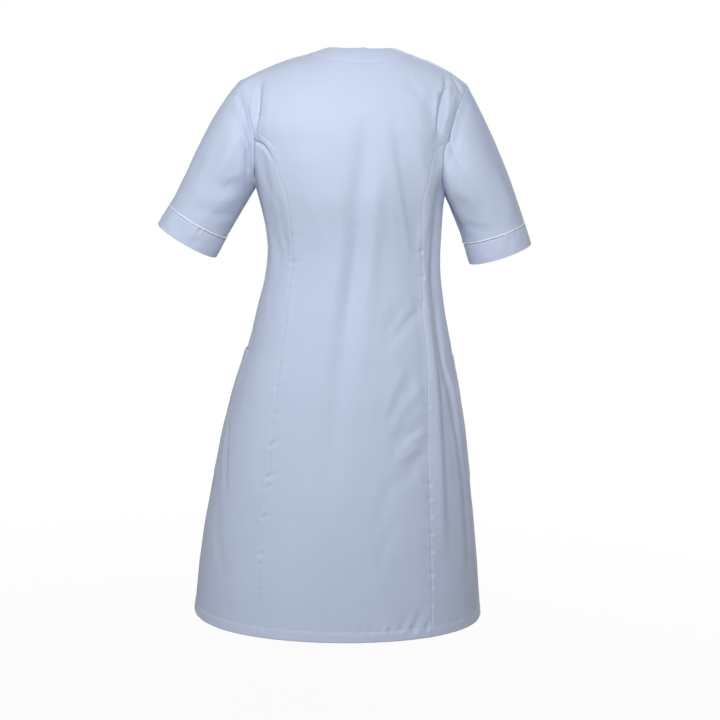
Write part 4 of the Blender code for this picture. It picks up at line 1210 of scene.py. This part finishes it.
def makePiping(word, line, out):  # a covered cord laid in the cuff's seam
    bpy.ops.object.select_all(action="DESELECT")
    curve = bpy.data.curves.new("piping", "CURVE")
    curve.dimensions = "3D"
    curve.bevel_depth = piping["radius"]
    curve.bevel_resolution = piping["sides"]
    spline = curve.splines.new("POLY")
    places = line + out * piping["stand"]
    spline.points.add(len(places) - 1)
    for point, place in zip(spline.points, places):
        point.co = (*place, 1)
    spline.use_cyclic_u = True
    piece = bpy.data.objects.new(f"cuffPiping{word.title()}", curve)
    bpy.context.scene.collection.objects.link(piece)
    bpy.context.view_layer.objects.active = piece
    piece.select_set(True)
    bpy.ops.object.convert(target="MESH")
    piece = bpy.context.view_layer.objects.active
    piece.name = f"cuffPiping{word.title()}Cord"
    piece.data.materials.clear()
    piece.data.materials.append(pipingCord)
    piece.data.shade_smooth()
    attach(piece, "root")
    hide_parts("cuff_piping_" + word)


for word in ("left", "right"):
    makeSleeve(word)
print("sleeves, cuffs and piping made")

buttonForm = {
    "count": 7, "firstDrop": .228, "spacing": .097, "radius": .0075, "thickness": .0026,
    "gap": .0004, "rim": .0019, "dish": .0008, "drillRadius": .000527, "drillSides": 14,
    "holeHalf": .00085, "bevel": .0006, "sides": 48, "sharpAngle": 38, "flatTurn": .9,
    "bandRise": .0003, "threadRise": .0001, "threadWidth": 1.15,
    "strands": (-.00022, 0, .00022),
}


def startEditing(piece):
    bpy.context.view_layer.objects.active = piece
    piece.select_set(True)
    bpy.ops.object.mode_set(mode="EDIT")
    bpy.ops.mesh.select_all(action="DESELECT")
    bpy.context.tool_settings.mesh_select_mode = (False, False, True)
    return bmesh.from_edit_mesh(piece.data)


def pickFaces(piece, test):
    shape = bmesh.from_edit_mesh(piece.data)
    for face in shape.faces:
        face.select_set(bool(test(face)))
    bmesh.update_edit_mesh(piece.data)


def modelButton():  # a round button with a raised rim and four holes
    bpy.ops.object.select_all(action="DESELECT")
    thickness = buttonForm["thickness"]
    bpy.ops.mesh.primitive_cylinder_add(vertices=buttonForm["sides"],
                                        radius=buttonForm["radius"], depth=thickness,
                                        location=(0, 0, thickness / 2))
    button = bpy.context.active_object
    bpy.ops.object.transform_apply(location=True, rotation=True, scale=True)
    startEditing(button)
    pickFaces(button, lambda face: face.normal.z > buttonForm["flatTurn"])
    bpy.ops.mesh.inset(thickness=buttonForm["rim"] * .5)
    bpy.ops.mesh.inset(thickness=buttonForm["rim"] * .5)
    bpy.ops.transform.translate(value=(0, 0, -buttonForm["dish"]))
    pickFaces(button, lambda face: face.normal.z < -buttonForm["flatTurn"])
    bpy.ops.mesh.inset(thickness=buttonForm["rim"] * .6)
    bpy.ops.mesh.select_all(action="DESELECT")
    shape = bmesh.from_edit_mesh(button.data)
    bpy.context.tool_settings.mesh_select_mode = (False, True, False)
    for edge in shape.edges:
        if len(edge.link_faces) == 2 and edge.calc_face_angle() > buttonForm["flatTurn"]:
            edge.select_set(True)
    bmesh.update_edit_mesh(button.data)
    bpy.ops.mesh.bevel(offset=buttonForm["bevel"], segments=3, profile=.6)
    bpy.ops.object.mode_set(mode="OBJECT")
    drills = []
    for x in (-1, 1):
        for y in (-1, 1):
            bpy.ops.object.select_all(action="DESELECT")
            spread = buttonForm["holeHalf"]
            bpy.ops.mesh.primitive_cylinder_add(
                vertices=buttonForm["drillSides"], radius=buttonForm["drillRadius"],
                depth=thickness * 4, location=(x * spread, y * spread, 0))
            drills.append(bpy.context.active_object)
    for drill in drills:
        cut = button.modifiers.new("hole", "BOOLEAN")
        cut.object = drill
        cut.operation = "DIFFERENCE"
        bpy.ops.object.select_all(action="DESELECT")
        bpy.context.view_layer.objects.active = button
        button.select_set(True)
        bpy.ops.object.modifier_apply(modifier=cut.name)
        bpy.data.objects.remove(drill, do_unlink=True)
    bpy.ops.object.shade_smooth_by_angle(angle=math.radians(buttonForm["sharpAngle"]))
    return button


def placketPoint(level):  # middle of the upper closing band
    angle = np.array([[1.5 * math.pi - .02, 1.5 * math.pi, 1.5 * math.pi + .02]] * 3)
    rows = np.array([level - .003, level, level + .003])[:, None] + 0 * angle
    points, normals = panelSurface(angle, rows, bodyForm["lapLift"] + 0 * angle, "", False)
    return points[1, 1] + normals[1, 1] * buttonForm["bandRise"], normals[1, 1]


def seatFrame(seat, out):  # a frame whose Z stands out of the cloth and whose Y runs up it
    aside = unit(np.cross([0, 0, 1], out))
    turn = Matrix((aside, np.cross(out, aside), out)).transposed().to_4x4()
    return Matrix.Translation(Vector(seat)) @ turn


def makeButtons():
    model = modelButton()
    for number in range(buttonForm["count"]):
        level = -(buttonForm["firstDrop"] + number * buttonForm["spacing"])
        seat, out = placketPoint(level)
        mesh = model.data.copy()
        mesh.transform(seatFrame(seat + out * buttonForm["gap"], out))
        mesh.materials.clear()
        mesh.materials.append(buttonPlastic)
        piece = addPiece(f"frontButton{number + 1}", mesh)
        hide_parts(f"button_{number + 1}")
        sewOn(seat, out)
    bpy.data.objects.remove(model, do_unlink=True)


buttonhole = {"half": .0092, "gap": .0006, "pitch": .00045, "threadWidth": .55,
              "barWidth": 1.2, "barThreads": (0, .0004, .0008), "lift": .0001}


def sewOn(seat, out):  # threads across the button's holes, and the worked buttonhole under it
    turn = np.array(seatFrame(seat, out))[:3, :3]
    aside, up = turn[:, 0], turn[:, 1]
    top = (buttonForm["gap"] + buttonForm["thickness"] - buttonForm["dish"]
           + buttonForm["threadRise"])

    def thread(name, middle, width):
        stitches.setdefault(name, []).append((middle[None], (aside * width)[None], out[None]))

    for k in (-1, 1):
        for strand in buttonForm["strands"]:
            thread("buttonThread", seat + out * top + up * (k * buttonForm["holeHalf"] + strand),
                   buttonForm["threadWidth"])
    half, gap, pitch, lift = (buttonhole[key] for key in ("half", "gap", "pitch", "lift"))
    for place in np.arange(-half, half + pitch / 2, pitch):
        for k in (-1, 1):
            thread("buttonholeStitching", seat + up * place + aside * k * gap + out * lift,
                   buttonhole["threadWidth"])
    for end in (-1, 1):
        for strand in buttonhole["barThreads"]:
            thread("buttonholeStitching", seat + up * end * (half + strand) + out * lift * 2,
                   buttonhole["barWidth"])


makeButtons()
print("buttons made")

stitchForm = {
    "length": .0021, "radius": .00024, "flatten": .75, "endScale": .45, "endDrop": .00016,
    "sides": 4, "middleShare": .6, "endShare": .2, "flatTurn": .9,
}


def modelStitch():  # one short stitch along X, its ends sinking into the cloth
    bpy.ops.object.select_all(action="DESELECT")
    bpy.ops.mesh.primitive_cylinder_add(vertices=stitchForm["sides"], radius=stitchForm["radius"],
                                        depth=stitchForm["length"] * stitchForm["middleShare"],
                                        rotation=(0, math.pi / 2, 0))
    stitch = bpy.context.active_object
    bpy.ops.object.transform_apply(location=True, rotation=True, scale=True)
    for end in (-1, 1):
        startEditing(stitch)
        pickFaces(stitch, lambda face: face.normal.x * end > stitchForm["flatTurn"])
        reach = end * stitchForm["length"] * stitchForm["endShare"]
        bpy.ops.mesh.extrude_region_move(TRANSFORM_OT_translate={
            "value": (reach, 0, -stitchForm["endDrop"])})
        bpy.ops.transform.resize(value=(1, stitchForm["endScale"], stitchForm["endScale"]))
        bpy.ops.object.mode_set(mode="OBJECT")
    return stitch


def sewStitches():
    stitch = modelStitch()
    form = np.array([vertex.co[:] for vertex in stitch.data.vertices])
    faces = [list(face.vertices) for face in stitch.data.polygons]
    for name, runs in stitches.items():
        seat, ahead, out = (np.concatenate([run[k] for run in runs]) for k in range(3))
        aside = unit(np.cross(out, ahead))
        places = (seat[:, None] + form[:, :1] * ahead[:, None] + form[:, 1:2] * aside[:, None]
                  + form[:, 2:] * stitchForm["flatten"] * out[:, None])
        mesh = bpy.data.meshes.new(name)
        every = [[v + k * len(form) for v in face] for k in range(len(seat)) for face in faces]
        mesh.from_pydata(places.reshape(-1, 3).tolist(), [], every)
        mesh.shade_smooth()
        mesh.materials.append(sewingThread)
        addPiece(name, mesh)
    bpy.data.objects.remove(stitch, do_unlink=True)


sewStitches()
print("stitching made:",
      {name: sum(len(run[0]) for run in runs) for name, runs in stitches.items()})

studio = {
    "floorDrop": 1.46, "floorSize": 30.0, "floorGlow": .94, "whiteFrom": .8, "whiteAt": 2.6,
    "lights": (  # name, place, aim, size, power, colour
        ("keyLight", (.10, 1.76, .70), (0, 0, -.22), .9, 34.5, (1, .998, .99)),
        ("leftLight", (1.95, 1.20, .45), (0, 0, -.25), 1.2, 17, (.98, .99, 1)),
        ("rightLight", (-1.95, 1.20, .45), (0, 0, -.25), 1.2, 5.2, (.98, .99, 1)),
        ("frontLight", (-.7, -1.9, .8), (0, 0, -.30), 1.2, 44, (1, .998, .99))),
    "ambient": .08,
}


def makeStudio():
    bpy.context.scene.view_settings.view_transform = "Standard"
    bpy.ops.object.select_all(action="DESELECT")
    bpy.ops.mesh.primitive_plane_add(size=studio["floorSize"],
                                     location=(0, 0, -studio["floorDrop"]))
    floor = bpy.context.active_object
    floor.name = "paleFloor"
    made, shader, base = newMaterial("paleFloorFinish", {"Base Color": (.60, .60, .60, 1),
                                                         "Roughness": .9})
    glow = base.node("ShaderNodeEmission", values={"Color": (1, 1, 1, 1), "Strength": 1.0})
    place = base.node("ShaderNodeTexCoord", out=3)
    away = base.node("ShaderNodeVectorMath", {"operation": "LENGTH"}, {0: place}, 1)
    fade = base.node("ShaderNodeMapRange", {"interpolation_type": "SMOOTHSTEP"},
                     {0: away, 1: studio["whiteFrom"], 2: studio["whiteAt"],
                      3: studio["floorGlow"], 4: 1.0})
    seen = base.node("ShaderNodeLightPath", out=0)
    surface = Socket(made.node_tree, shader.outputs[0])
    blend = base.node("ShaderNodeMixShader", values={0: seen * fade, 1: surface, 2: glow})
    end = made.node_tree.nodes["Material Output"]
    made.node_tree.links.new(blend.output, end.inputs["Surface"])
    floor.data.materials.append(made)
    world = bpy.data.worlds.new("paleRoom")
    bpy.context.scene.world = world
    world.use_nodes = True
    back = world.node_tree.nodes["Background"]
    back.inputs["Color"].default_value = (1, 1, 1, 1)
    room = Socket(world.node_tree)
    strength = room.node("ShaderNodeLightPath", out=0) * (1 - studio["ambient"]) + studio["ambient"]
    world.node_tree.links.new(strength.output, back.inputs["Strength"])
    for name, place, aim, size, power, colour in studio["lights"]:
        data = bpy.data.lights.new(name, "AREA")
        data.size = size
        data.energy = power
        data.color = colour
        lamp = bpy.data.objects.new(name, data)
        lamp.location = place
        lamp.visible_camera = False
        lamp.rotation_euler = (Vector(aim) - Vector(place)).to_track_quat("-Z", "Y").to_euler()
        bpy.context.scene.collection.objects.link(lamp)


viewpoint = {"yaw": 6.0, "pitch": 9.2, "roll": 2.1, "distance": 2.5, "height": -.14, "aside": .030,
             "sensor": 36.0, "focalShare": 1406 / 720}


def makeCamera():
    yaw, pitch, roll = (math.radians(viewpoint[key]) for key in ("yaw", "pitch", "roll"))
    ahead = Vector((-math.sin(yaw) * math.cos(pitch), -math.cos(yaw) * math.cos(pitch),
                    -math.sin(pitch)))
    right = Vector((-math.cos(yaw), math.sin(yaw), 0))
    up = right.cross(ahead)
    place = Vector((viewpoint["distance"] * math.sin(yaw), viewpoint["distance"] * math.cos(yaw),
                    viewpoint["height"])) + right * viewpoint["aside"]
    turned = right * math.cos(roll) + up * math.sin(roll)
    raised = up * math.cos(roll) - right * math.sin(roll)
    data = bpy.data.cameras.new("backView")
    data.sensor_width = viewpoint["sensor"]
    data.lens = viewpoint["focalShare"] * viewpoint["sensor"]
    camera = bpy.data.objects.new("backView", data)
    camera.matrix_world = (Matrix.Translation(place)
                           @ Matrix((turned, raised, -ahead)).transposed().to_4x4())
    bpy.context.scene.collection.objects.link(camera)
    bpy.context.scene.camera = camera


makeStudio()
makeCamera()
print("studio and camera ready")
